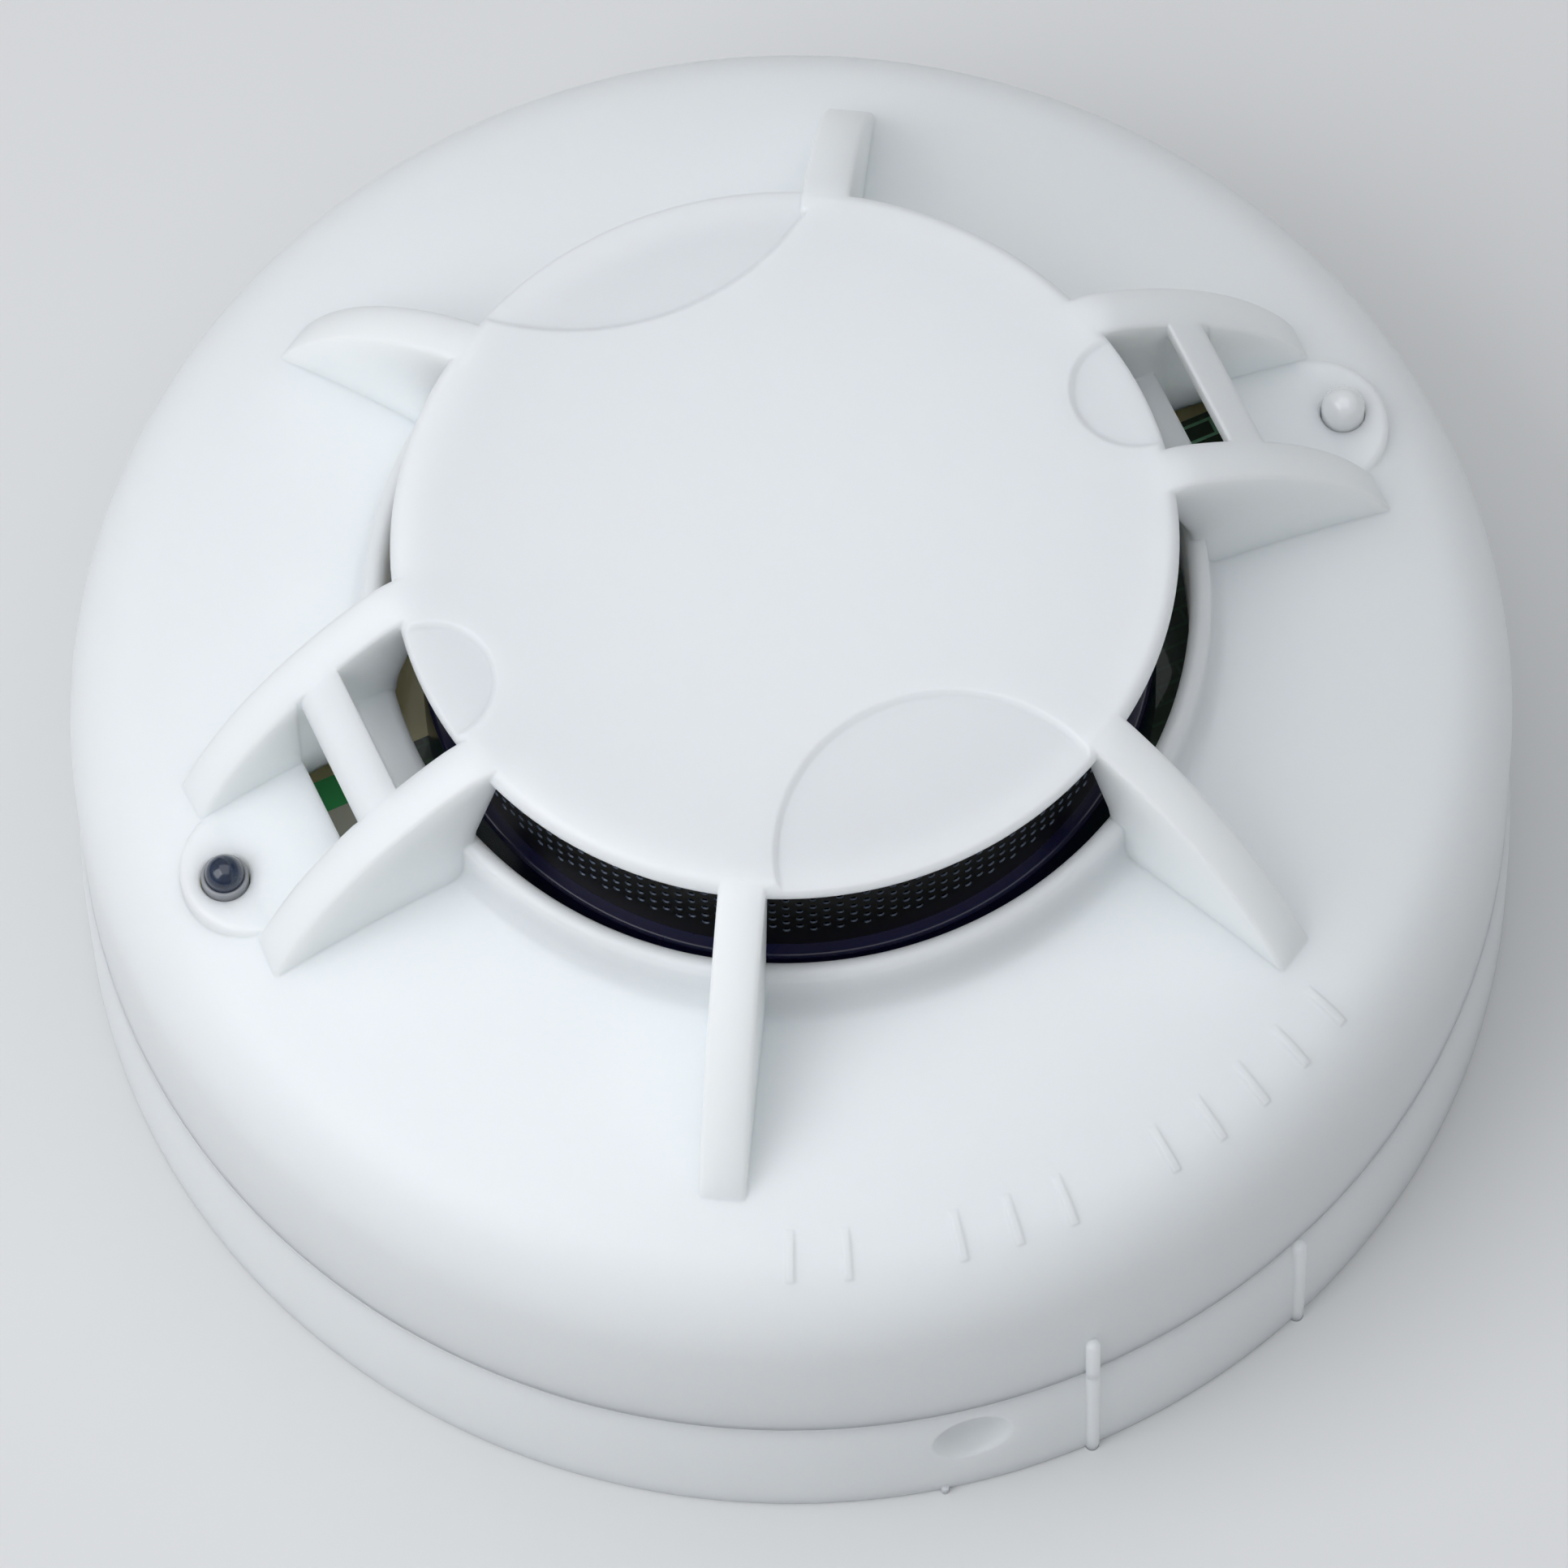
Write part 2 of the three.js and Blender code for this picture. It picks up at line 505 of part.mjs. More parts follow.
function baseBody() {
  let body = solid(turned([
    [CABLE_HOLE_RADIUS, 0], [BASE_RADIUS - 0.4, 0], [BASE_RADIUS, 0.5], [BASE_RADIUS, BASE_HEIGHT - 0.3],
    [BASE_RADIUS - 0.3, BASE_HEIGHT], [RING_INSIDE, BASE_HEIGHT], [RING_INSIDE, FLOOR],
    [CABLE_HOLE_RADIUS + 1.6, FLOOR], [CABLE_HOLE_RADIUS + 1.6, 4.0], [CABLE_HOLE_RADIUS, 4.0],
  ], 64));
  LUG_AZIMUTHS.forEach((azimuth) => {
    const [inside, outside] = [COLLAR_RADIUS + 0.4, BASE_RADIUS - 1];
    const ledge = ringSector(inside, outside, LEDGE_HALF_ANGLE, LUG_TOP + GAP, 12.0);
    body = body.add(solid(turn(ledge, azimuth)));
    [-LUG_HALF_ANGLE - 2, TWIST_ANGLE + LUG_HALF_ANGLE + 2].forEach((step) => {
      const stop = ringSector(inside, outside, 1, FLOOR - 0.5, 12.0);
      body = body.add(solid(turn(stop, azimuth + step)));
    });
  });
  TERMINAL_AZIMUTHS.forEach((azimuth) => {
    const pad = block([-4.4, 4.4], [-6.2, 6.2], [FLOOR - 0.5, PAD_TOP]);
    const nutWell = cylinder(2.1, 3.0, PAD_TOP + 1, 10);
    body = body.add(solid(turn(pad.translate(CONTACT_CIRCLE, 0, 0), azimuth)));
    body = body.subtract(solid(turn(nutWell.translate(CONTACT_CIRCLE, 0, 0), azimuth)));
  });
  [65, 245].forEach((azimuth) => {
    const slot = new THREE.Shape();
    slot.absarc(4, 0, 2.0, -Math.PI / 2, Math.PI / 2, false);
    slot.absarc(-4, 0, 2.0, Math.PI / 2, (3 * Math.PI) / 2, false);
    const cut = flatPlate(slot, -1, FLOOR + 1, 5).rotateZ(90 * DEG).translate(30, 0, 0);
    body = body.subtract(solid(turn(cut, azimuth)));
  });
  [0, TWIST_ANGLE].forEach((step) => {
    const mark = cylinder(MARK_RADIUS, 0, BASE_HEIGHT, 8).translate(BASE_RADIUS, 0, 0);
    body = body.add(solid(turn(mark, LOCKED_MARK_AZIMUTH + step)));
  });
  const dimple = new THREE.SphereGeometry(1, 16, 10).scale(1.1, 2.9, 3.4);
  const dimpleAt = turn(dimple.translate(BASE_RADIUS + 0.1, 0, 8.3), 282);
  return body.subtract(solid(dimpleAt));
}

place('mounting_base', baseBody(), 'whiteAbs');

// A contact spring is bent from strip: flat under the terminal screw, then a raised
// finger that the head's blade presses on.
function contactSpring() {
  const shape = [
    [-5.6, 6.7], [4.6, 6.7], [7.4, 7.9], [11.0, 8.1], [14.6, 7.4], [17.2, 7.4], [17.2, 7.9],
    [14.8, 7.9], [11.2, 8.7], [7.0, 8.5], [4.4, 7.3], [-5.6, 7.3],
  ];
  return solid(uprightPlate(shape, STRIP_WIDTH)).subtract(solid(cylinder(1.9, 6, 8, 10)));
}

// A square clamping plate with turned-up edges, lifted by its screw.
function clampPlate() {
  const plate = solid(block([-3.4, 3.4], [-3.6, 3.6], [7.6, 8.3]));
  const lips = [-1, 1].map((side) => solid(
    block([-3.4, 3.4], [side * 3.3 - 0.3, side * 3.3 + 0.3], [7.6, 8.9])));
  return joined([plate, ...lips]).subtract(solid(cylinder(1.8, 7, 10, 10)));
}

function terminalScrew() {
  const screw = turned([
    [0, 3.6], [1.0, 3.6], [1.5, 4.2], [1.5, 8.6], [2.8, 8.6], [2.8, 9.7], [2.4, 10.4], [0, 10.6],
  ], 12);
  const slots = [0, 90].map((angle) => solid(
    block([-2.0, 2.0], [-0.35, 0.35], [9.6, 11]).rotateZ(angle * DEG)));
  return slots.reduce((body, slot) => body.subtract(slot), solid(screw));
}

TERMINAL_AZIMUTHS.forEach((azimuth, i) => {
  place(`contact_spring_${i + 1}`, alongCircle(contactSpring(), azimuth), 'springBronze');
  place(`clamp_plate_${i + 1}`, alongCircle(clampPlate(), azimuth), 'platedSteel');
  place(`terminal_screw_${i + 1}`, alongCircle(terminalScrew(), azimuth), 'platedSteel');
});

export default detector;
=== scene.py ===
# %% [markdown]
# A ceiling detector on its twist-lock base. The real one is a white moulded cap on
# six arms over a dark sensing chamber, with two lamps on its shoulder. Everything that
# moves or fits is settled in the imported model, so this script starts by loading that
# model as a fixed frame and then makes the visible pieces around it.

# %% Load the frame
import math

import bmesh
import bpy
from mathutils import Matrix, Vector


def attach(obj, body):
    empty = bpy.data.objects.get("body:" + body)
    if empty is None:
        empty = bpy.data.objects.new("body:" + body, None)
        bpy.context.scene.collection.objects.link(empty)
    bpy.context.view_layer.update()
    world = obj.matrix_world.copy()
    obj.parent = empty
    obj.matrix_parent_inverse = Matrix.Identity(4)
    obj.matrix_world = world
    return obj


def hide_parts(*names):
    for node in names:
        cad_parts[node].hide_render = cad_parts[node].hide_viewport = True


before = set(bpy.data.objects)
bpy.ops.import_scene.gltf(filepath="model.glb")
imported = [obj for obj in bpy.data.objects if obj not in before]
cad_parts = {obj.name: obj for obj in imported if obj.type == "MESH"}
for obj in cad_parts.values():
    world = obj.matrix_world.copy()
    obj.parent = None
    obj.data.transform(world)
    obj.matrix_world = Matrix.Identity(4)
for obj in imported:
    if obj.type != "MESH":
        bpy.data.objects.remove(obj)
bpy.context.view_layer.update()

# %% [markdown]
# Small objects are easier to think about in millimetres, so every piece is modelled in
# millimetres and brought to metres once, when it is finished. The heights and radii
# below are the drawing's own: the head is a skirt with a rounded shoulder, a raised rim
# round the smoke entry, and a cap that stands on arms above it.

# %% Driving sizes, in millimetres
MM = 0.001
TINY = 1e-4
BASE_RADIUS = 50.4
BASE_HEIGHT = 12.3
HEAD_RADIUS = 50.0
SEAM = 0.03                    # parting line between head and base
SHOULDER_ROUND = 8.0
SHOULDER_ARC = (HEAD_RADIUS - SHOULDER_ROUND, 24.06)
SHOULDER_EDGE_ANGLE = 67
SHOULDER_FOOT = (30.2, 35.7)
SHOULDER_CONTROL = (37.7, 34.57)
RIM_RADIUS = 27.5
RIM_WIDTH = 1.45
RIM_TOP = 40.35
CAP_RADIUS = 26.7
CAP_TOP = 49.95
CAP_UNDERSIDE = 47.95
CAP_CROWN = 0.6                # how much lower the cap's face is near its edge
WALL = 2.2
ARM_AZIMUTH = 22.5
SINGLE_STEP = 59.3             # from a double arm to the single rib beside it
RIB_THICKNESS = 3.2
TWIN_RIB_OFFSET = 6.5
LAMP_AT = 42.25
LAMP_RADIUS = 1.5
print("head is", 2 * HEAD_RADIUS, "mm across and", CAP_TOP, "mm high on its base")

# %% [markdown]
# The camera stands high in front of the detector and far away, through a long lens,
# so circles stay close to true ellipses. It leans by a couple of degrees, as a camera
# held in the hand does.

# %% Camera
VIEW_ELEVATION = math.radians(64.08)
VIEW_ROLL = math.radians(-2.30)
VIEW_DISTANCE = 866.6
VIEW_TARGET = Vector((-0.70, -6.89, 25.0))
SENSOR_WIDTH = 36
FOCAL_LENGTH = 288.1
NEAREST = 0.05                 # metres; nothing stands closer to the camera than this
camera_data = bpy.data.cameras.new("camera")
camera_data.sensor_width = SENSOR_WIDTH
camera_data.lens = FOCAL_LENGTH
camera_data.clip_start = NEAREST
camera = bpy.data.objects.new("camera", camera_data)
bpy.context.scene.collection.objects.link(camera)
back = Vector((0, -math.cos(VIEW_ELEVATION), math.sin(VIEW_ELEVATION)))
level = Vector((1, 0, 0))
upright = back.cross(level)
right = math.cos(VIEW_ROLL) * level + math.sin(VIEW_ROLL) * upright
up = math.cos(VIEW_ROLL) * upright - math.sin(VIEW_ROLL) * level
place = (VIEW_TARGET + VIEW_DISTANCE * back) * MM
axes = Matrix((right, up, back)).transposed().to_4x4()
camera.matrix_world = Matrix.Translation(place) @ axes
bpy.context.scene.camera = camera
print("camera at", [round(value, 3) for value in place])

# %% [markdown]
# Materials are node trees. One function turns a paint chart's hex value into the linear
# colour that the shader wants, and one adds a node with its settings and its links.

# %% Colour and node helpers
def colour(value):
    """An sRGB hex value as linear red, green, blue and alpha."""
    channels = [int(value[i:i + 2], 16) / 255 for i in (1, 3, 5)]
    linear = [c / 12.92 if c <= 0.04045 else ((c + 0.055) / 1.055) ** 2.4 for c in channels]
    return (*linear, 1.0)


def add(tree, kind, sockets=None, **settings):
    """A node in a tree. sockets maps an input's name or number to a value or an output."""
    node = tree.nodes.new(kind)
    for name, value in settings.items():
        setattr(node, name, value)
    for key, value in (sockets or {}).items():
        if isinstance(value, bpy.types.NodeSocket):
            tree.links.new(value, node.inputs[key])
        else:
            node.inputs[key].default_value = value
    return node


def new_material(name, **sockets):
    """A material, its tree and its shader, with plain values set on the shader."""
    material = bpy.data.materials.new(name)
    material.use_nodes = True
    tree = material.node_tree
    shader = tree.nodes["Principled BSDF"]
    for key, value in sockets.items():
        shader.inputs[key.replace("_", " ")].default_value = value
    return material, tree, shader

# %% [markdown]
# Most moulded or rolled surfaces need the same three things: a colour that drifts a
# little, a roughness that drifts with it, and a grain. Noise on Object coordinates gives
# all three at a size in metres, because each piece's place is in its mesh.

# %% The shared surface recipe
def surface(tree, shader, tones, rough, grain, depth, drift=18 * MM, soften=0.0):
    """Links a drifting colour and roughness, and a grain of the given size, to a shader."""
    where = add(tree, "ShaderNodeTexCoord").outputs["Object"]
    wide = add(tree, "ShaderNodeTexNoise", {
        "Vector": where, "Scale": 1 / drift, "Detail": 3.0, "Roughness": 0.55})
    mix = add(tree, "ShaderNodeMix", {
        0: wide.outputs["Fac"], 6: colour(tones[0]), 7: colour(tones[1])}, data_type="RGBA")
    spread = add(tree, "ShaderNodeMapRange", {
        "Value": wide.outputs["Fac"], "From Min": 0.3, "From Max": 0.7,
        "To Min": rough[0], "To Max": rough[1]})
    fine = add(tree, "ShaderNodeTexNoise", {
        "Vector": where, "Scale": 1 / grain, "Detail": 2.0, "Roughness": 0.6})
    bump = add(tree, "ShaderNodeBump", {
        "Height": fine.outputs["Fac"], "Distance": depth, "Strength": 1.0})
    if soften:
        edge = add(tree, "ShaderNodeBevel", {"Radius": soften}, samples=8)
        tree.links.new(edge.outputs["Normal"], bump.inputs["Normal"])
    tree.links.new(mix.outputs[2], shader.inputs["Base Color"])
    tree.links.new(spread.outputs["Result"], shader.inputs["Roughness"])
    tree.links.new(bump.outputs["Normal"], shader.inputs["Normal"])
    return where

# %% [markdown]
# The housing is white ABS, injection moulded in a fine spark-eroded cavity. That gives a
# satin face with a broad, weak highlight and edges with the tool's own small radius. Light
# travels a few millimetres inside the plastic, which keeps the shadows on thin ribs pale.
# The eroded grain is about 0.03 mm, too fine to show, so it is drawn coarser and faint.

# %% Satin white ABS
def satin_white_abs():
    material, tree, shader = new_material(
        "satin_white_abs", IOR=1.53, Subsurface_Weight=0.9, Subsurface_Scale=4.0 * MM,
        Subsurface_Radius=(1.0, 0.95, 0.85))
    surface(tree, shader, ("#f3f7f8", "#eff4f6"), (0.40, 0.48), 0.3 * MM, 0.0012 * MM,
            soften=0.35 * MM)
    return material

white_abs = satin_white_abs()

# %% [markdown]
# The chamber is black ABS from a polished cavity, so it is glossy and shows narrow
# reflections. Its black is tinted navy, which is a painted blue reflection of the sky. The
# insect screen is thin steel, painted black before it is punched, so the walls of its holes
# are bare and bright.

# %% Polished black ABS and the screen's black sheet
def polished_black_abs():
    material, tree, shader = new_material("polished_black_abs", IOR=1.53)
    # painted reflection: the navy in these tones stands in for a blue reflection of the sky
    surface(tree, shader, ("#0a0a30", "#0e0e3e"), (0.18, 0.28), 0.5 * MM, 0.002 * MM,
            soften=0.12 * MM)
    return material


def painted_black_sheet():
    material, tree, shader = new_material("painted_black_sheet", IOR=1.5)
    surface(tree, shader, ("#08080a", "#0c0c0f"), (0.28, 0.38), 0.2 * MM, 0.001 * MM)
    return material


def punched_steel():
    material, tree, shader = new_material("bare_punched_steel", Metallic=1.0)
    surface(tree, shader, ("#c3cede", "#b2c0d6"), (0.34, 0.46), 0.1 * MM, 0.001 * MM)
    return material

black_abs = polished_black_abs()
black_sheet = painted_black_sheet()
bare_steel = punched_steel()

# %% [markdown]
# The circuit board is glass-epoxy laminate with a green solder mask. Copper tracks show
# as paler green lines under the mask. A tan strip is painted shade, standing in for a white
# wall seen in warm shade over the board. It and one bright green strip are painted lighter
# than the board's own colours, standing in for light that doesn't reach the board.
# The tracks are the mortar of a brick pattern, turned to lie along the arms, because
# tracks run straight and turn at right angles as mortar does.

# %% Green-masked laminate
PAINTED_SHADE_STRIP = (6.8 * MM, 13.0 * MM)     # painted shade: tan standing in for a white wall in warm shade, measured across the double arms
PRINTED_STRIP = (1.9 * MM, 4.4 * MM)   # pale component print on the status lamp's side
STRIPS_FROM = 29 * MM                  # the windows over the board start beyond this
TRACK_GAP = 1.25 * MM
TRACK_WIDTH = 0.26 * MM


def between(tree, value, low, high):
    """1 where value lies between low and high, else 0."""
    past = add(tree, "ShaderNodeMath", {0: value, 1: low}, operation="GREATER_THAN")
    before = add(tree, "ShaderNodeMath", {0: value, 1: high}, operation="LESS_THAN")
    both = {0: past.outputs[0], 1: before.outputs[0]}
    return add(tree, "ShaderNodeMath", both, operation="MULTIPLY").outputs[0]


def painted(tree, where, under, over):
    """One colour laid over another where a mask is 1."""
    mix = add(tree, "ShaderNodeMix", {0: where, 6: under, 7: colour(over)}, data_type="RGBA")
    return mix.outputs[2]


def masked_laminate():
    material, tree, shader = new_material("masked_laminate", IOR=1.5, Coat_Weight=0.3)
    where = surface(tree, shader, ("#1c6b33", "#165c2a"), (0.40, 0.52), 0.4 * MM, 0.003 * MM)
    turned_to_arm = add(tree, "ShaderNodeMapping", {
        "Vector": where, "Rotation": (0, 0, math.radians(-ARM_AZIMUTH))})
    tracks = add(tree, "ShaderNodeTexBrick", {
        "Vector": turned_to_arm.outputs["Vector"], "Scale": 1.0, "Mortar Size": TRACK_WIDTH / 2,
        "Mortar Smooth": 0.1, "Brick Width": 3.3 * TRACK_GAP, "Row Height": TRACK_GAP,
        "Color1": colour("#0a2a15"), "Color2": colour("#0d331a"), "Mortar": colour("#1a4a2e")})
    place = add(tree, "ShaderNodeSeparateXYZ", {0: turned_to_arm.outputs["Vector"]})
    far_side = between(tree, place.outputs["X"], -STRIPS_FROM * 2, -STRIPS_FROM)
    near_side = between(tree, place.outputs["X"], STRIPS_FROM, STRIPS_FROM * 2)
    lines = add(tree, "ShaderNodeMath", {0: near_side, 1: tracks.outputs["Fac"]},
                operation="MULTIPLY")
    printed = add(tree, "ShaderNodeMath", {
        0: far_side, 1: between(tree, place.outputs["Y"], *PRINTED_STRIP)},
        operation="MULTIPLY")
    painted_light_strip = add(tree, "ShaderNodeMath", {
        0: far_side, 1: between(tree, place.outputs["Y"], PRINTED_STRIP[1], PAINTED_SHADE_STRIP[0])},
        operation="MULTIPLY")
    face = painted(tree, lines.outputs[0], tracks.outputs["Color"], "#a5e8bd")
    # painted light: this strip's green is brighter than the mask's own, standing in for light that
    # doesn't reach the board
    face = painted(tree, painted_light_strip.outputs[0], face, "#4fd67a")
    face = painted(tree, printed.outputs[0], face, "#f4f1dc")
    # painted shade: tan standing in for a white wall in warm shade, made bright to stand in for
    # light that doesn't reach the board
    face = painted(tree, between(tree, place.outputs["Y"], *PAINTED_SHADE_STRIP), face, "#f6e9ae")
    tree.links.new(face, shader.inputs["Base Color"])
    return material

laminate = masked_laminate()

# %% [markdown]
# Lamps are cast epoxy. The alarm lamp's resin is filled so that it scatters, which makes
# it milky, and the status lamp's is dyed almost black-blue. Both are smooth as glass.

# %% Cast epoxy lenses
def milky_epoxy():
    material, tree, shader = new_material(
        "milky_epoxy", IOR=1.52, Transmission_Weight=0.12, Subsurface_Weight=0.5,
        Subsurface_Scale=1.0 * MM, Subsurface_Radius=(1.0, 1.0, 1.0), Coat_Weight=0.4,
        Coat_Roughness=0.05)
    surface(tree, shader, ("#f1f2f4", "#f6f7f8"), (0.12, 0.20), 0.5 * MM, 0.001 * MM)
    return material


def dyed_epoxy():
    material, tree, shader = new_material("dyed_epoxy", IOR=1.52, Coat_Weight=0.5)
    surface(tree, shader, ("#0e1526", "#22344f"), (0.16, 0.30), 0.25 * MM, 0.004 * MM,
            drift=0.6 * MM)
    return material

milky_lens = milky_epoxy()
dyed_lens = dyed_epoxy()

# %% [markdown]
# The metal parts keep the default IOR. Zinc plate is pale and slightly blue, tin-flashed
# brass is warm, spring bronze is redder, and a drawn aluminium can is soft and bright.
# Rolled and drawn metal has fine lines, drawn here as a grain finer than the strip.

# %% Metals, component epoxy and the thermistor's glass
def plain_metal(name, tones, rough, grain):
    material, tree, shader = new_material(name, Metallic=1.0)
    surface(tree, shader, tones, rough, grain, 0.002 * MM, drift=6 * MM)
    return material

zinc_plate = plain_metal("zinc_plated_steel", ("#b9bdc4", "#a9adb5"), (0.24, 0.36), 0.3 * MM)
tinned_brass = plain_metal("tin_flashed_brass", ("#cdb988", "#bda775"), (0.24, 0.36), 0.3 * MM)
spring_bronze = plain_metal("rolled_spring_bronze", ("#b98f5c", "#a67c4b"), (0.26, 0.4), 0.3 * MM)
drawn_can = plain_metal("drawn_aluminium_can", ("#c3c6ca", "#b3b6bb"), (0.3, 0.42), 0.25 * MM)


def moulded(name, tones, rough, ior=1.5):
    material, tree, shader = new_material(name, IOR=ior)
    surface(tree, shader, tones, rough, 0.25 * MM, 0.004 * MM, drift=4 * MM)
    return material

component_epoxy = moulded("component_epoxy", ("#1d1e20", "#26272a"), (0.5, 0.65))
grey_sleeve = moulded("grey_lamp_sleeve", ("#8f9196", "#9a9ca1"), (0.3, 0.4))
dipped_bead = moulded("dipped_thermistor_bead", ("#3b2c20", "#4a382a"), (0.2, 0.3))

# %% [markdown]
# The modelling helpers come next. A profile spun about the axis makes everything round,
# an outline pushed sideways makes a plate, and a boolean modifier joins or cuts. The
# boolean is evaluated at once, so the finished piece carries no live helper objects.

# %% Curves in a profile
def arc(centre, radius, start, end, steps):
    turn = [math.radians(start + (end - start) * i / steps) for i in range(steps + 1)]
    return [(centre[0] + radius * math.cos(a), centre[1] + radius * math.sin(a)) for a in turn]


def swoop(start, control, end, steps):
    """A curve that leaves start and reaches end, both aimed at control."""
    share = [i / steps for i in range(steps + 1)]
    return [tuple((1 - t) ** 2 * a + 2 * t * (1 - t) * b + t * t * c
                  for a, b, c in zip(start, control, end)) for t in share]

# %% Spun shapes
def spun(profile, steps=192):
    """A closed solid from (radius, height) points spun about the axis."""
    bm = bmesh.new()
    points = [bm.verts.new((radius, 0, height)) for radius, height in profile]
    lines = [bm.edges.new(pair) for pair in zip(points, points[1:])]
    if profile[0][0] > TINY or profile[-1][0] > TINY:
        lines.append(bm.edges.new((points[-1], points[0])))
    bmesh.ops.spin(bm, geom=points + lines, cent=(0, 0, 0), axis=(0, 0, 1), dvec=(0, 0, 0),
                   angle=math.tau, steps=steps, use_merge=True, use_duplicate=False)
    bmesh.ops.remove_doubles(bm, verts=bm.verts, dist=TINY)
    bmesh.ops.recalc_face_normals(bm, faces=bm.faces)
    return bm

# %% Plates, blocks and rounded edges
def rounded(bm, edges, radius, segments=3):
    bmesh.ops.bevel(bm, geom=edges, offset=radius, offset_type="OFFSET", affect="EDGES",
                    segments=segments, profile=0.5, material=-1, clamp_overlap=True)
    return bm


def plate(outline, thickness, edge=0.0, segments=3):
    """An outline of (out, up) points stood on edge along X, its rims rounded."""
    bm = bmesh.new()
    face = bm.faces.new([bm.verts.new((x, -thickness / 2, z)) for x, z in outline])
    grown = bmesh.ops.extrude_face_region(bm, geom=[face])["geom"]
    bmesh.ops.translate(bm, vec=(0, thickness, 0),
                        verts=[item for item in grown if isinstance(item, bmesh.types.BMVert)])
    bmesh.ops.recalc_face_normals(bm, faces=bm.faces)
    if edge:
        rims = [e for e in bm.edges if abs(e.verts[0].co.y - e.verts[1].co.y) < TINY]
        rounded(bm, rims, edge, segments)
    return bm


def block(low, high):
    bm = bmesh.new()
    bmesh.ops.create_cube(bm, size=1.0)
    size = [b - a for a, b in zip(low, high)]
    bmesh.ops.scale(bm, vec=size, verts=bm.verts)
    bmesh.ops.translate(bm, vec=[(a + b) / 2 for a, b in zip(low, high)], verts=bm.verts)
    return bm


def turned(bm, azimuth):
    bmesh.ops.rotate(bm, cent=(0, 0, 0), verts=bm.verts,
                     matrix=Matrix.Rotation(math.radians(azimuth), 3, "Z"))
    return bm


def moved(bm, x, y, z=0.0):
    bmesh.ops.translate(bm, vec=(x, y, z), verts=bm.verts)
    return bm

# %% Joining and cutting
def as_object(name, bm):
    mesh = bpy.data.meshes.new(name)
    bm.to_mesh(mesh)
    bm.free()
    made = bpy.data.objects.new(name, mesh)
    bpy.context.scene.collection.objects.link(made)
    return made


def combined(body, operation, others):
    """body with each of the others joined to it, cut from it or kept in common."""
    holder = as_object("holder", body)
    tools = [as_object("tool", other) for other in others]
    for tool in tools:
        step = holder.modifiers.new("step", "BOOLEAN")
        step.operation = operation
        step.solver = "MANIFOLD"
        step.object = tool
    depsgraph = bpy.context.evaluated_depsgraph_get()
    mesh = bpy.data.meshes.new_from_object(holder.evaluated_get(depsgraph))
    result = bmesh.new()
    result.from_mesh(mesh)
    bpy.data.meshes.remove(mesh)
    for used in [holder, *tools]:
        data = used.data
        bpy.data.objects.remove(used)
        bpy.data.meshes.remove(data)
    return result

# %% Round pegs
def disc(radius, bottom, top, segments=128):
    bm = bmesh.new()
    bmesh.ops.create_cone(bm, cap_ends=True, segments=segments, radius1=radius,
                          radius2=radius, depth=top - bottom)
    return moved(bm, 0, 0, (top + bottom) / 2)


def pegs(azimuths, at, radius, bottom, top, segments):
    """One upright peg at each azimuth, its middle at the given distance from the axis."""
    return [turned(moved(disc(radius, bottom, top, segments), at, 0), azimuth)
            for azimuth in azimuths]

# %% [markdown]
# A finished piece is welded, brought to metres and shaded smooth, with only real corners
# left sharp. It rides on a body of the frame, takes its finish, and hides the frame's
# nodes that it stands for.

# %% Finishing a piece
WELD = 0.002                   # points closer than this become one
REAL_CORNER = 38               # degrees between faces from which an edge stays sharp


def finished(name, bm, material, body, slot, *nodes):
    bmesh.ops.remove_doubles(bm, verts=bm.verts, dist=WELD)
    bmesh.ops.dissolve_degenerate(bm, edges=bm.edges, dist=WELD)
    bmesh.ops.scale(bm, vec=(MM, MM, MM), verts=bm.verts)
    made = as_object(name, bm)
    made.data.shade_smooth()
    made.data.set_sharp_from_angle(angle=math.radians(REAL_CORNER))
    made.data.materials.append(material)
    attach(made, body)
    if nodes:
        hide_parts(*nodes)
    triangles = sum(len(face.vertices) - 2 for face in made.data.polygons)
    print(name, "has", triangles, "triangles")
    return made

# %% [markdown]
# The cover starts with the shell: skirt, shoulder and rim are one profile. The shoulder
# leaves its big radius on a slow curve, turns up sharply at the rim's foot, and the rim
# ends in a full round bead.

# %% Cover shell
LIP_ROUND = 0.04               # the skirt's lower edge is nearly sharp
RIM_FOOT_CONTROL = 35.9
RIM_STRAIGHT_FROM = 37.7
SLOPE_EXTRA = 0.15             # the sloping wall is this much thicker, measured upright


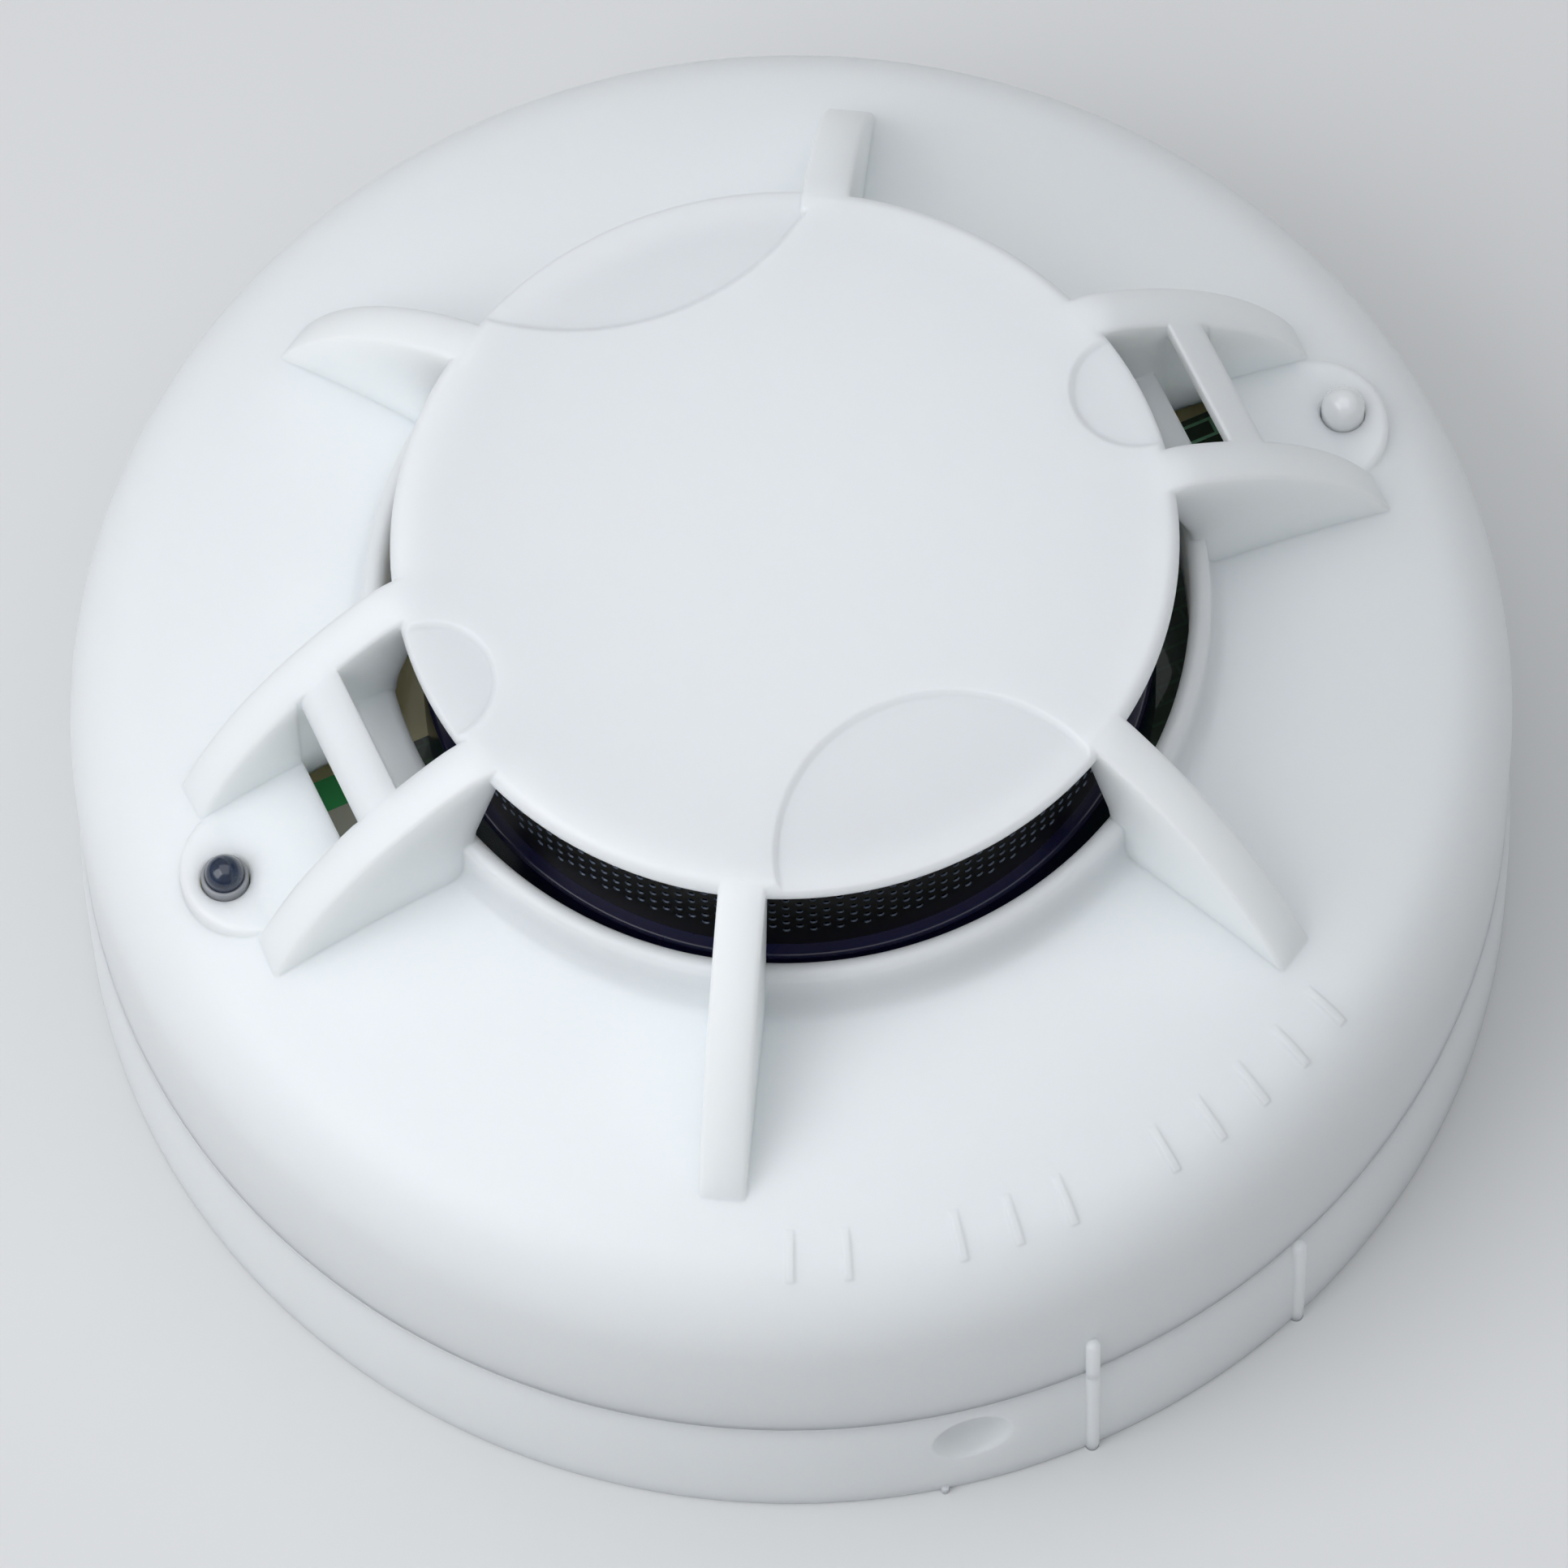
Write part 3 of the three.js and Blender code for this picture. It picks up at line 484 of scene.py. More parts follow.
def cover_shell():
    outside = arc(SHOULDER_ARC, SHOULDER_ROUND, 0, SHOULDER_EDGE_ANGLE, 18)
    slope = swoop(outside[-1], SHOULDER_CONTROL, SHOULDER_FOOT, 12)
    rim_outside = RIM_RADIUS + RIM_WIDTH
    foot = swoop(SHOULDER_FOOT, (rim_outside + 0.1, RIM_FOOT_CONTROL),
                 (rim_outside, RIM_STRAIGHT_FROM), 6)
    bead_centre = (RIM_RADIUS + RIM_WIDTH / 2, RIM_TOP - RIM_WIDTH / 2)
    bead = arc(bead_centre, RIM_WIDTH / 2, 0, 180, 12)
    bottom = BASE_HEIGHT + SEAM
    lip = arc((HEAD_RADIUS - LIP_ROUND, bottom + LIP_ROUND), LIP_ROUND, -90, 0, 2)
    under_slope = [(r - 0.5, z - WALL - SLOPE_EXTRA) for r, z in slope[1:]][::-1]
    inside = arc(SHOULDER_ARC, SHOULDER_ROUND - WALL, SHOULDER_EDGE_ANGLE, 0, 10)
    profile = [*lip, *outside, *slope[1:], *foot[1:], *bead,
               (RIM_RADIUS, SHOULDER_FOOT[1] - WALL - SLOPE_EXTRA), *under_slope, *inside,
               (HEAD_RADIUS - WALL, bottom)]
    return spun(profile, 240)

print("shell made from", SHOULDER_ROUND, "mm shoulder radius")

# %% [markdown]
# The cap is a slightly crowned disc with a soft edge. Two shallow lens-shaped recesses are
# pressed into it, and a small round one at each double arm. Each cutter has a lowered copy
# of the cap taken out of it, so the recess follows the crown at an even depth.

# %% Cap with its recesses
RECESS_DEPTH = 0.42
LENS_RECESSES = [((10.57, -24.83), 12.8), ((-13.56, 35.61), 20.0)]   # centre and radius
SCOOP_AT = 26.4
SCOOP_RADIUS = 5.2
STEP_SLOPE = 1.1               # how far a recess wall leans for each millimetre of height
CUTTER_FLOOR = 48              # below every recess, where the cutters start
CAP_EDGE = 0.95
CAP_LOWER_EDGE = 0.25


def cap_face(radius):
    return CAP_TOP - CAP_CROWN * (radius / CAP_RADIUS) ** 2


def plain_cap(drop=0.0, grow=0.0):
    """The cap without recesses, or a copy of it that is lowered and made wider."""
    shoulder = CAP_RADIUS - CAP_EDGE
    crown = [(shoulder * i / 8, cap_face(shoulder * i / 8)) for i in range(9)]
    edge = arc((shoulder, cap_face(shoulder) - CAP_EDGE), CAP_EDGE, 90, 0, 8)
    foot = arc((CAP_RADIUS - CAP_LOWER_EDGE, CAP_UNDERSIDE + CAP_LOWER_EDGE), CAP_LOWER_EDGE,
               0, -90, 3)
    profile = [*crown, *edge[1:], *foot, (0, CAP_UNDERSIDE)]
    return spun([(r + grow * (r > 1), z - drop) for r, z in profile], 192)


def recess(radius, x, y, azimuth=0.0):
    """What one round recess removes: a plug with a slightly sloping wall."""
    spread = STEP_SLOPE * (CAP_TOP - CUTTER_FLOOR)
    plug = spun([(0, CUTTER_FLOOR), (radius - spread, CUTTER_FLOOR),
                 (radius + 2 * STEP_SLOPE, CAP_TOP + 2), (0, CAP_TOP + 2)], 256)
    return combined(turned(moved(plug, x, y), azimuth), "DIFFERENCE",
                    [plain_cap(RECESS_DEPTH, 2.0)])


def cover_cap():
    cutters = [recess(radius, *centre) for centre, radius in LENS_RECESSES]
    cutters += [recess(SCOOP_RADIUS, SCOOP_AT, 0, azimuth)
                for azimuth in (ARM_AZIMUTH, ARM_AZIMUTH + 180)]
    return combined(plain_cap(), "DIFFERENCE", cutters)

# %% [markdown]
# A rib is one plate. Its crest runs flush with the cap's face, bends over the cap's edge
# and falls to the shoulder on a single arc. Moulded ribs never have knife edges, so the
# rims get a radius of 0.4 mm. Its inner edge keeps clear of the screen, and a rib that
# stands off the middle line has its inner points on the same circles as one that doesn't.

# %% Ribs
CREST_CENTRE = (10.9, 19.3)
CREST_RADIUS = 33.8
CREST_START = 26.1             # where the crest would meet the cap's face in a corner
CREST_FULL = 27.5              # where the blend round that corner ends
RIB_TIP = 42.2
RIB_EDGE = 0.42
RIB_STEPS = 30
RIB_ROOT = ((RIB_TIP, 30.8), (36, 32.6), (28.2, 34.2))       # inside the shoulder's wall
RIB_INNER_EDGE = ((27.7, RIM_TOP - 0.8), (27.4, 41.6), (25.4, 47.8), (25.4, 48.1))
RIB_GRIP = ((24.0, 48.2), (24.4, 48.8))                      # inside the cap
GRIP_END = 25.0                # where the crest comes out of the cap's face


def crest(out):
    return CREST_CENTRE[1] + math.sqrt(CREST_RADIUS ** 2 - (out - CREST_CENTRE[0]) ** 2)


def rib(azimuth, offset=0.0):
    def on_circle(radius):
        return math.sqrt(radius ** 2 - offset ** 2)

    grip = [(on_circle(radius), height) for radius, height in RIB_GRIP]
    bend = swoop((on_circle(GRIP_END), cap_face(GRIP_END) - 0.01),
                 (CREST_START, crest(CREST_START)), (CREST_FULL, crest(CREST_FULL)), 6)
    steps = range(1, RIB_STEPS + 1)
    fall = [CREST_FULL + (RIB_TIP - CREST_FULL) * i / RIB_STEPS for i in steps]
    inner_edge = [(on_circle(radius), height) for radius, height in RIB_INNER_EDGE]
    outline = [*grip, *bend, *[(out, crest(out)) for out in fall], *RIB_ROOT, *inner_edge]
    return turned(moved(plate(outline, RIB_THICKNESS, RIB_EDGE), 0, offset), azimuth)

# %% [markdown]
# Between the ribs of a double arm the rim widens into a flat platform, and a window
# beside it opens on the board. A crossbar bridges the window, flush with the crests. Its
# outer edge is rounder than its inner one. Further out a round boss carries the lamp.

# %% Platforms, windows, crossbars and lamp bosses
WINDOW = (29.97, 34.2)
CROSSBAR = (31.0, 33.8)
CHANNEL = TWIN_RIB_OFFSET - RIB_THICKNESS / 2
SHUT_OFF = 0.12                # step where the two halves of the tool meet on a rib's wall
CROSSBAR_DEPTH = 2.0
CROSSBAR_EDGES = (0.3, 0.5, 0.9, 0.35)     # lower near, lower far, upper far, upper near
BOSS_AT = 40.1
BOSS_RADIUS = 5.1
BOSS_FOOT = 28.6
BOSS_TOP = 33.0
BOSS_EDGE = 0.5
CUTTER_FOOT, CUTTER_HEAD = 26, 36          # under and over the shoulder


def platform(azimuth):
    bm = block((27.0, -CHANNEL - 0.6, 34.0), (WINDOW[0] + 0.5, CHANNEL + 0.6, RIM_TOP - 0.01))
    return turned(combined(bm, "DIFFERENCE", [disc(RIM_RADIUS + RIM_WIDTH / 2, 30, 42)]), azimuth)


def windows(azimuth):
    opening = block((WINDOW[0], -CHANNEL, CUTTER_FOOT), (WINDOW[1], CHANNEL, RIM_TOP + 1))
    relief = block((CROSSBAR[0] - 0.1, -CHANNEL - SHUT_OFF, CUTTER_FOOT),
                   (WINDOW[1], CHANNEL + SHUT_OFF, crest(CROSSBAR[0]) - CROSSBAR_DEPTH))
    return [turned(opening, azimuth), turned(relief, azimuth)]


def crossbar(azimuth):
    near, far = CROSSBAR
    corners = [(near, crest(near) - CROSSBAR_DEPTH), (far, crest(far) - CROSSBAR_DEPTH),
               (far, crest(far)), (near, crest(near))]
    bm = plate(corners, 2 * CHANNEL + 2)
    for (x, z), radius in zip(corners, CROSSBAR_EDGES):
        edges = [e for e in bm.edges if all(
            abs(v.co.x - x) < TINY and abs(v.co.z - z) < TINY for v in e.verts)]
        rounded(bm, edges, radius, 5)
    return turned(bm, azimuth)


def lamp_boss(azimuth):
    bm = disc(BOSS_RADIUS, BOSS_FOOT, BOSS_TOP)
    top_edges = [e for e in bm.edges if all(v.co.z > BOSS_TOP - TINY for v in e.verts)]
    return turned(moved(rounded(bm, top_edges, BOSS_EDGE, 5), BOSS_AT, 0), azimuth)


def lamp_hole(azimuth, clearance):
    """A bore with room for the lamp's flange below and a small countersink on top."""
    flange, bore = LAMP_RADIUS + 0.3, LAMP_RADIUS + clearance
    mouth = bore + 0.12
    bm = spun([(0, CUTTER_FOOT), (flange, CUTTER_FOOT), (flange, 31.2), (bore, 31.3),
               (bore, BOSS_TOP - 0.15), (mouth, BOSS_TOP + 0.02), (mouth, CUTTER_HEAD),
               (0, CUTTER_HEAD)], 64)
    return turned(moved(bm, LAMP_AT, 0), azimuth)

# %% [markdown]
# Raised marks finish the cover: one half-round line on the skirt that lines up with the
# base, and a row of plain raised bars on the shoulder. The bars are the part of a
# slightly thicker shoulder that a fan of blocks leaves, so they follow its curve.

# %% Marks and raised bars
MARK_RADIUS = 0.5
MARK_AT = 50.3                 # the same radius on head and base, so the marks line up
MARK_TOP = 17.7
MARK_AZIMUTH = 292.0
TWIST = 19.8
BAR_RELIEF = 0.16
BAR_FIELD = (43.7, 46.9)
BAR_WIDTH = 0.6
BAR_AZIMUTHS = [268 + 4.85 * i for i in range(12) if i not in (2, 6)]   # two, three and five


def mark(radius, bottom, top, azimuth):
    bm = disc(MARK_RADIUS, bottom, top, 32)
    top_edges = [e for e in bm.edges if all(v.co.z > top - TINY for v in e.verts)]
    return turned(moved(rounded(bm, top_edges, MARK_RADIUS - 0.1, 3), radius, 0), azimuth)


def raised_bars():
    grown = SHOULDER_ROUND + BAR_RELIEF
    face = arc(SHOULDER_ARC, grown, 50, 80, 16)
    hidden = arc(SHOULDER_ARC, grown - 1, 80, 50, 6)
    bars = []
    for azimuth in BAR_AZIMUTHS:
        bar = block((BAR_FIELD[0], -BAR_WIDTH / 2, CUTTER_FOOT),
                    (BAR_FIELD[1], BAR_WIDTH / 2, CUTTER_HEAD))
        bars.append(combined(turned(bar, azimuth), "INTERSECT", [spun([*face, *hidden], 180)]))
    return bars

# %% [markdown]
# Three posts inside the cover take the screws of the rear housing. Everything is joined
# first and the holes are cut after that, so that no later piece closes one again. Only the
# crossbars, which bridge an opening, are joined last.

# %% Cover put together
POST_AT = 31.6
POST_AZIMUTHS = (75, 175, 275)
POST = (3.2, 15.7, 33.0, 32)               # radius, foot, top, sides
POST_BORE = (1.5, 15, 27, 24)
ALARM_CLEARANCE = 0.08
STATUS_CLEARANCE = 0.25                    # room for the dark lamp's sleeve


def cover():
    doubles = [ARM_AZIMUTH, ARM_AZIMUTH + 180]
    singles = [azimuth + side * SINGLE_STEP for azimuth in doubles for side in (-1, 1)]
    parts = [cover_cap(), mark(MARK_AT, BASE_HEIGHT + SEAM, MARK_TOP, MARK_AZIMUTH)]
    parts += [rib(azimuth) for azimuth in singles]
    parts += [rib(azimuth, side * TWIN_RIB_OFFSET) for azimuth in doubles for side in (-1, 1)]
    parts += [made(azimuth) for azimuth in doubles for made in (platform, lamp_boss)]
    parts += pegs(POST_AZIMUTHS, POST_AT, *POST)
    body = combined(cover_shell(), "UNION", parts + raised_bars())
    cuts = [lamp_hole(azimuth, clearance)
            for azimuth, clearance in zip(doubles, (ALARM_CLEARANCE, STATUS_CLEARANCE))]
    cuts += windows(ARM_AZIMUTH) + windows(ARM_AZIMUTH + 180)
    cuts += pegs(POST_AZIMUTHS, POST_AT, *POST_BORE)
    body = combined(body, "DIFFERENCE", cuts)
    return combined(body, "UNION", [crossbar(azimuth) for azimuth in doubles])

finished("cover", cover(), white_abs, "head", "white_abs", "detector_cover")

# %% [markdown]
# The chamber base is a black cup. Its rim is the ledge that the screen stands on, and the
# ledge's outer edge is rounded so that it catches a thin line of light. Slanted vanes
# inside keep light out and let smoke in.

# %% Chamber base and lid
CHAMBER_RADIUS = 25.3
LEDGE_TOP = 36.0
LEDGE_INSIDE = 22.8
LEDGE_EDGE = 0.3
CUP_FOOT = 27.4
CUP_FLOOR = 31
SCREEN_RADIUS = 24.3
SCREEN_TOP = 45.9
VANES = 12
VANE_AT = 20.2
VANE_SLANT = 50
OPTIC_AZIMUTHS = (0, 135)      # the emitter's seat and the photodiode's
OPTIC_HEIGHT = 34.6
OPTIC_BORE = 2.9


def chamber_base():
    edge = arc((CHAMBER_RADIUS - LEDGE_EDGE, LEDGE_TOP - LEDGE_EDGE), LEDGE_EDGE, 0, 90, 5)
    cup = spun([(0, 27.6), (22, 27.6), (22, CUP_FOOT), (CHAMBER_RADIUS, CUP_FOOT), *edge,
                (LEDGE_INSIDE, LEDGE_TOP), (LEDGE_INSIDE, CUP_FLOOR), (0, CUP_FLOOR)], 160)
    inner = []
    for i in range(VANES):
        vane = turned(block((-2.4, -0.4, CUP_FLOOR - 0.5), (2.4, 0.4, 45.4)), VANE_SLANT)
        inner.append(turned(moved(vane, VANE_AT, 0), 360 / VANES * i))
    bores = []
    for azimuth in OPTIC_AZIMUTHS:
        seat = block((7.6, -4.2, CUP_FLOOR - 0.5), (15.6, 4.2, 38.2))
        inner.append(turned(seat, azimuth))
        bore = disc(OPTIC_BORE, -5, 5, 48)
        bmesh.ops.rotate(bore, cent=(0, 0, 0), verts=bore.verts,
                         matrix=Matrix.Rotation(math.radians(90), 3, "Y"))
        bores.append(turned(moved(bore, 11, 0, OPTIC_HEIGHT), azimuth))
    return combined(combined(cup, "UNION", inner), "DIFFERENCE", bores)

finished("chamber_cup", chamber_base(), black_abs, "head", "black_abs", "chamber_base")
LID_RADIUS = 25
LID_HEIGHTS = (45.8, 46.2, 47.55)          # spigot, rim and top
spigot, rim, top = LID_HEIGHTS
lid = spun([(0, spigot), (SCREEN_RADIUS - 1, spigot), (SCREEN_RADIUS - 1, rim),
            (LID_RADIUS, rim), (LID_RADIUS, top), (0, top)], 160)
finished("chamber_cover", lid, black_abs, "head", "black_abs", "chamber_lid")

# %% [markdown]
# The screen is thin sheet with staggered round holes. It is a grid in which every second
# cell of each column, like the black squares of a chessboard, is inset, narrowed and cut
# at its corners, and then removed. The sheet is then bent into a ring, its plain bands are
# extruded above and below, and it is given its thickness last, which also makes the walls
# of the holes. Light catches the lower wall of each hole, so they have to be real.

# %% Insect screen
SCREEN_COLUMNS = 166
HOLE_PITCH = 1.13              # between holes of one column
HOLE_ACROSS = 0.49
CORNER_CUT = 0.29              # share of a hole's width, which makes its eight sides even
HOLE_BAND = (38.0, 45.4)       # heights between which the sheet is perforated
SHEET = 0.13


def perforated_strip():
    """A flat strip of sheet with eight-sided holes, lying in X and Y."""
    row = HOLE_PITCH / 2
    rows = round((HOLE_BAND[1] - HOLE_BAND[0]) / row)
    bm = bmesh.new()
    bmesh.ops.create_grid(bm, x_segments=SCREEN_COLUMNS, y_segments=rows, size=0.5)
    holes = [face for face in bm.faces if sum(
        math.floor((place + 0.5) * count) for place, count in
        zip(face.calc_center_median(), (SCREEN_COLUMNS, rows))) % 2 == 0]
    bmesh.ops.scale(bm, vec=(math.tau * SCREEN_RADIUS, rows * row, 1), verts=bm.verts)
    bmesh.ops.inset_individual(bm, faces=holes, thickness=(row - HOLE_ACROSS) / 2)
    for face in holes:
        middle = face.calc_center_median()
        for vert in face.verts:
            vert.co.x = middle.x + math.copysign(HOLE_ACROSS / 2, vert.co.x - middle.x)
    corners = [vert for face in holes for vert in face.verts]
    bmesh.ops.bevel(bm, geom=corners, offset=HOLE_ACROSS * CORNER_CUT, offset_type="OFFSET",
                    affect="VERTICES", segments=1, profile=0.5, material=-1)
    bmesh.ops.delete(bm, geom=[face for face in bm.faces if len(face.verts) == 8],
                     context="FACES")
    print("screen has", len(holes), "holes of", HOLE_ACROSS, "mm")
    return bm, rows * row


def screen():
    bm, height = perforated_strip()
    for vert in bm.verts:
        angle = vert.co.x / SCREEN_RADIUS
        rise = HOLE_BAND[0] + height / 2 + vert.co.y
        vert.co = (SCREEN_RADIUS * math.cos(angle), SCREEN_RADIUS * math.sin(angle), rise)
    bmesh.ops.remove_doubles(bm, verts=bm.verts, dist=0.01)
    for edge_height, band_end in ((HOLE_BAND[0], LEDGE_TOP + 0.02),
                                  (HOLE_BAND[0] + height, SCREEN_TOP)):
        loop = [edge for edge in bm.edges if edge.is_boundary and all(
            abs(vert.co.z - edge_height) < 0.01 for vert in edge.verts)]
        grown = bmesh.ops.extrude_edge_only(bm, edges=loop)["geom"]
        bmesh.ops.translate(bm, vec=(0, 0, band_end - edge_height),
                            verts=[item for item in grown if isinstance(item, bmesh.types.BMVert)])
    bmesh.ops.recalc_face_normals(bm, faces=bm.faces)
    bmesh.ops.solidify(bm, geom=bm.faces, thickness=SHEET)
    for face in bm.faces:
        middle = face.calc_center_median()
        outward = Vector((middle.x, middle.y, 0)).normalized()
        in_band = HOLE_BAND[0] < middle.z < HOLE_BAND[0] + height
        face.material_index = int(in_band and abs(face.normal.dot(outward)) < 0.5)
    return bm

sheet_ring = finished("screen", screen(), black_sheet, "head", "screen_mesh", "insect_screen")
sheet_ring.data.materials.append(bare_steel)

# %% [markdown]
# Both lamps are cast domes of about 3 mm on two wire legs. The dark one is a little
# narrower and stands in a grey sleeve that fills the rest of its hole.

# %% Lamps
DOME_CENTRE = 33.6
STATUS_RADIUS = 1.34
FLANGE_RADIUS = LAMP_RADIUS + 0.12
FLANGE_FOOT = 30.1
LEG_AT = 0.8
LEG_HALF = 0.25
LEG_FOOT = 27.3
SLEEVE_FOOT = 31.4
SLEEVE_BEAD_AT = 33.3


def lamp(azimuth, radius):
    dome = arc((0, DOME_CENTRE), radius, 0, 90, 16)
    body = spun([(0, FLANGE_FOOT), (FLANGE_RADIUS, FLANGE_FOOT), (FLANGE_RADIUS, 31.0),
                 (radius, 31.1), *dome[:-1], (0, DOME_CENTRE + radius)], 64)
    legs = [block((-LEG_HALF, side * LEG_AT - LEG_HALF, LEG_FOOT),
                  (LEG_HALF, side * LEG_AT + LEG_HALF, FLANGE_FOOT + 0.4)) for side in (-1, 1)]
    return turned(moved(combined(body, "UNION", legs), LAMP_AT, 0), azimuth)

finished("alarm_dome", lamp(ARM_AZIMUTH, LAMP_RADIUS), milky_lens, "head",
         "clear_lens", "alarm_lamp")
finished("status_dome", lamp(ARM_AZIMUTH + 180, STATUS_RADIUS), dyed_lens, "head",
         "smoked_lens", "status_lamp")
sleeve = spun([(STATUS_RADIUS + 0.02, SLEEVE_FOOT), (FLANGE_RADIUS, SLEEVE_FOOT),
               *arc((LAMP_RADIUS - 0.03, SLEEVE_BEAD_AT), 0.15, 0, 180, 6),
               (STATUS_RADIUS + 0.02, SLEEVE_BEAD_AT)], 64)
sleeve = turned(moved(sleeve, LAMP_AT, 0), ARM_AZIMUTH + 180)
finished("status_sleeve", sleeve, grey_sleeve, "head", "package_epoxy")

# %% [markdown]
# The board is a routed disc with holes where the cover's posts pass.

# %% Circuit board
BOARD_RADIUS = 44.6
BOARD_FACES = (25.4, 27.0)
BOARD_HOLE = 3.6


def board():
    bottom, top = BOARD_FACES
    holes = pegs(POST_AZIMUTHS, POST_AT, BOARD_HOLE, bottom - 1, top + 1, 48)
    return combined(disc(BOARD_RADIUS, bottom, top, 160), "DIFFERENCE", holes)

finished("board", board(), laminate, "head", "board_laminate", "circuit_board")

# %% [markdown]
# The base is a low tray. Its outside carries the two half-round marks that show locked
# and released, a shallow thumb recess beside them and a tiny nib at its foot. Inside
# are the ledges that hold the head's lugs, stops for the twist, terminal pads with nut
# wells, the cable hole with its collar and two fixing slots.

# %% Mounting base
FLOOR = 2.2
RING_INSIDE = BASE_RADIUS - 2.5
CABLE_HOLE = 14.0
CABLE_COLLAR = 1.6
TERMINAL_AT = 37.5
TERMINAL_AZIMUTHS = (20, 110, 200, 290)
LUG_AZIMUTHS = (0, 120, 240)
LUG_HALF_ANGLE = 6
COLLAR_RADIUS = 45.2
LEDGE_HEIGHTS = (10.2, 12.0)
PAD_TOP = 6.4
PAD_HALF = (4.4, 6.2)
NUT_WELL = (2.1, 3.0)                      # radius and floor
THUMB_HEIGHT = 8.15
THUMB_AZIMUTH = 282
THUMB_SIZE = (1.4, 2.85, 3.0)              # half depth, half width and half height
NIB_AZIMUTH = 279.7
SLOT_AZIMUTHS = (65, 245)
SLOT_AT = 30
SLOT_HALF = (2.0, 4.0)                     # half width, and half the way between its ends


def sector(inner, outer, half_angle, bottom, top, steps=8):
    """A curved block: a small section spun part of a turn, centred on +X."""
    bm = bmesh.new()
    corners = [(inner, bottom), (outer, bottom), (outer, top), (inner, top)]
    face = bm.faces.new([bm.verts.new((r, 0, z)) for r, z in corners])
    turned(bm, -half_angle)
    bmesh.ops.spin(bm, geom=[face, *face.edges, *face.verts], cent=(0, 0, 0), axis=(0, 0, 1),
                   dvec=(0, 0, 0), angle=math.radians(2 * half_angle), steps=steps,
                   use_merge=False, use_duplicate=False)
    bmesh.ops.recalc_face_normals(bm, faces=bm.faces)
    return bm


def thumb_recess():
    bm = bmesh.new()
    bmesh.ops.create_uvsphere(bm, u_segments=64, v_segments=32, radius=1.0)
    bmesh.ops.scale(bm, vec=THUMB_SIZE, verts=bm.verts)
    return turned(moved(bm, BASE_RADIUS + 0.1, 0, THUMB_HEIGHT), THUMB_AZIMUTH)


def fixing_slot(azimuth):
    half, reach = SLOT_HALF
    ends = [moved(disc(half, -1, FLOOR + 1, 48), 0, side * reach) for side in (-1, 1)]
    slot = combined(block((-half, -reach, -1), (half, reach, FLOOR + 1)), "UNION", ends)
    return turned(moved(slot, SLOT_AT, 0), azimuth)


def base():
    foot = arc((BASE_RADIUS - 0.5, 0.5), 0.5, -90, 0, 5)
    lip = swoop((BASE_RADIUS, BASE_HEIGHT - 5.0), (BASE_RADIUS, BASE_HEIGHT - 2.0),
                (HEAD_RADIUS + 0.02, BASE_HEIGHT), 8)
    inner_lip = arc((RING_INSIDE + 0.3, BASE_HEIGHT - 0.3), 0.3, 90, 180, 4)
    collar = arc((CABLE_HOLE + CABLE_COLLAR / 2, 4.0 - CABLE_COLLAR / 2), CABLE_COLLAR / 2,
                 0, 180, 8)
    tray = spun([(CABLE_HOLE, 0.3), (CABLE_HOLE + 0.3, 0), *foot, *lip, *inner_lip,
                 (RING_INSIDE, FLOOR + 0.6), (RING_INSIDE - 0.6, FLOOR),
                 (CABLE_HOLE + CABLE_COLLAR, FLOOR), *collar], 240)
    inside, outside = COLLAR_RADIUS + 0.4, BASE_RADIUS - 1
    parts = [mark(MARK_AT, 0, BASE_HEIGHT, MARK_AZIMUTH),
             mark(MARK_AT, 0, BASE_HEIGHT, MARK_AZIMUTH + TWIST),
             *pegs([NIB_AZIMUTH], BASE_RADIUS, 0.3, 0.05, 0.9, 24)]
    for azimuth in LUG_AZIMUTHS:
        parts.append(turned(sector(inside, outside, 7, *LEDGE_HEIGHTS), azimuth))
        for step in (-LUG_HALF_ANGLE - 2, TWIST + LUG_HALF_ANGLE + 2):
            stop = sector(inside, outside, 1, FLOOR - 0.5, LEDGE_HEIGHTS[1], 2)
            parts.append(turned(stop, azimuth + step))
    for azimuth in TERMINAL_AZIMUTHS:
        pad = block((-PAD_HALF[0], -PAD_HALF[1], FLOOR - 0.5), (*PAD_HALF, PAD_TOP))
        rounded(pad, [e for e in pad.edges if e.calc_face_angle(0) > 1
                      and max(v.co.z for v in e.verts) > FLOOR], 0.4, 3)
        parts.append(turned(moved(pad, TERMINAL_AT, 0), azimuth))
    cuts = [thumb_recess(), *[fixing_slot(azimuth) for azimuth in SLOT_AZIMUTHS]]
    cuts += pegs(TERMINAL_AZIMUTHS, TERMINAL_AT, *NUT_WELL, PAD_TOP + 1, 48)
    return combined(combined(tray, "UNION", parts), "DIFFERENCE", cuts)

finished("base", base(), white_abs, "base", "white_abs", "mounting_base")

# %% [markdown]
# The smaller pieces keep the shape that the frame gives them and take a finish here.

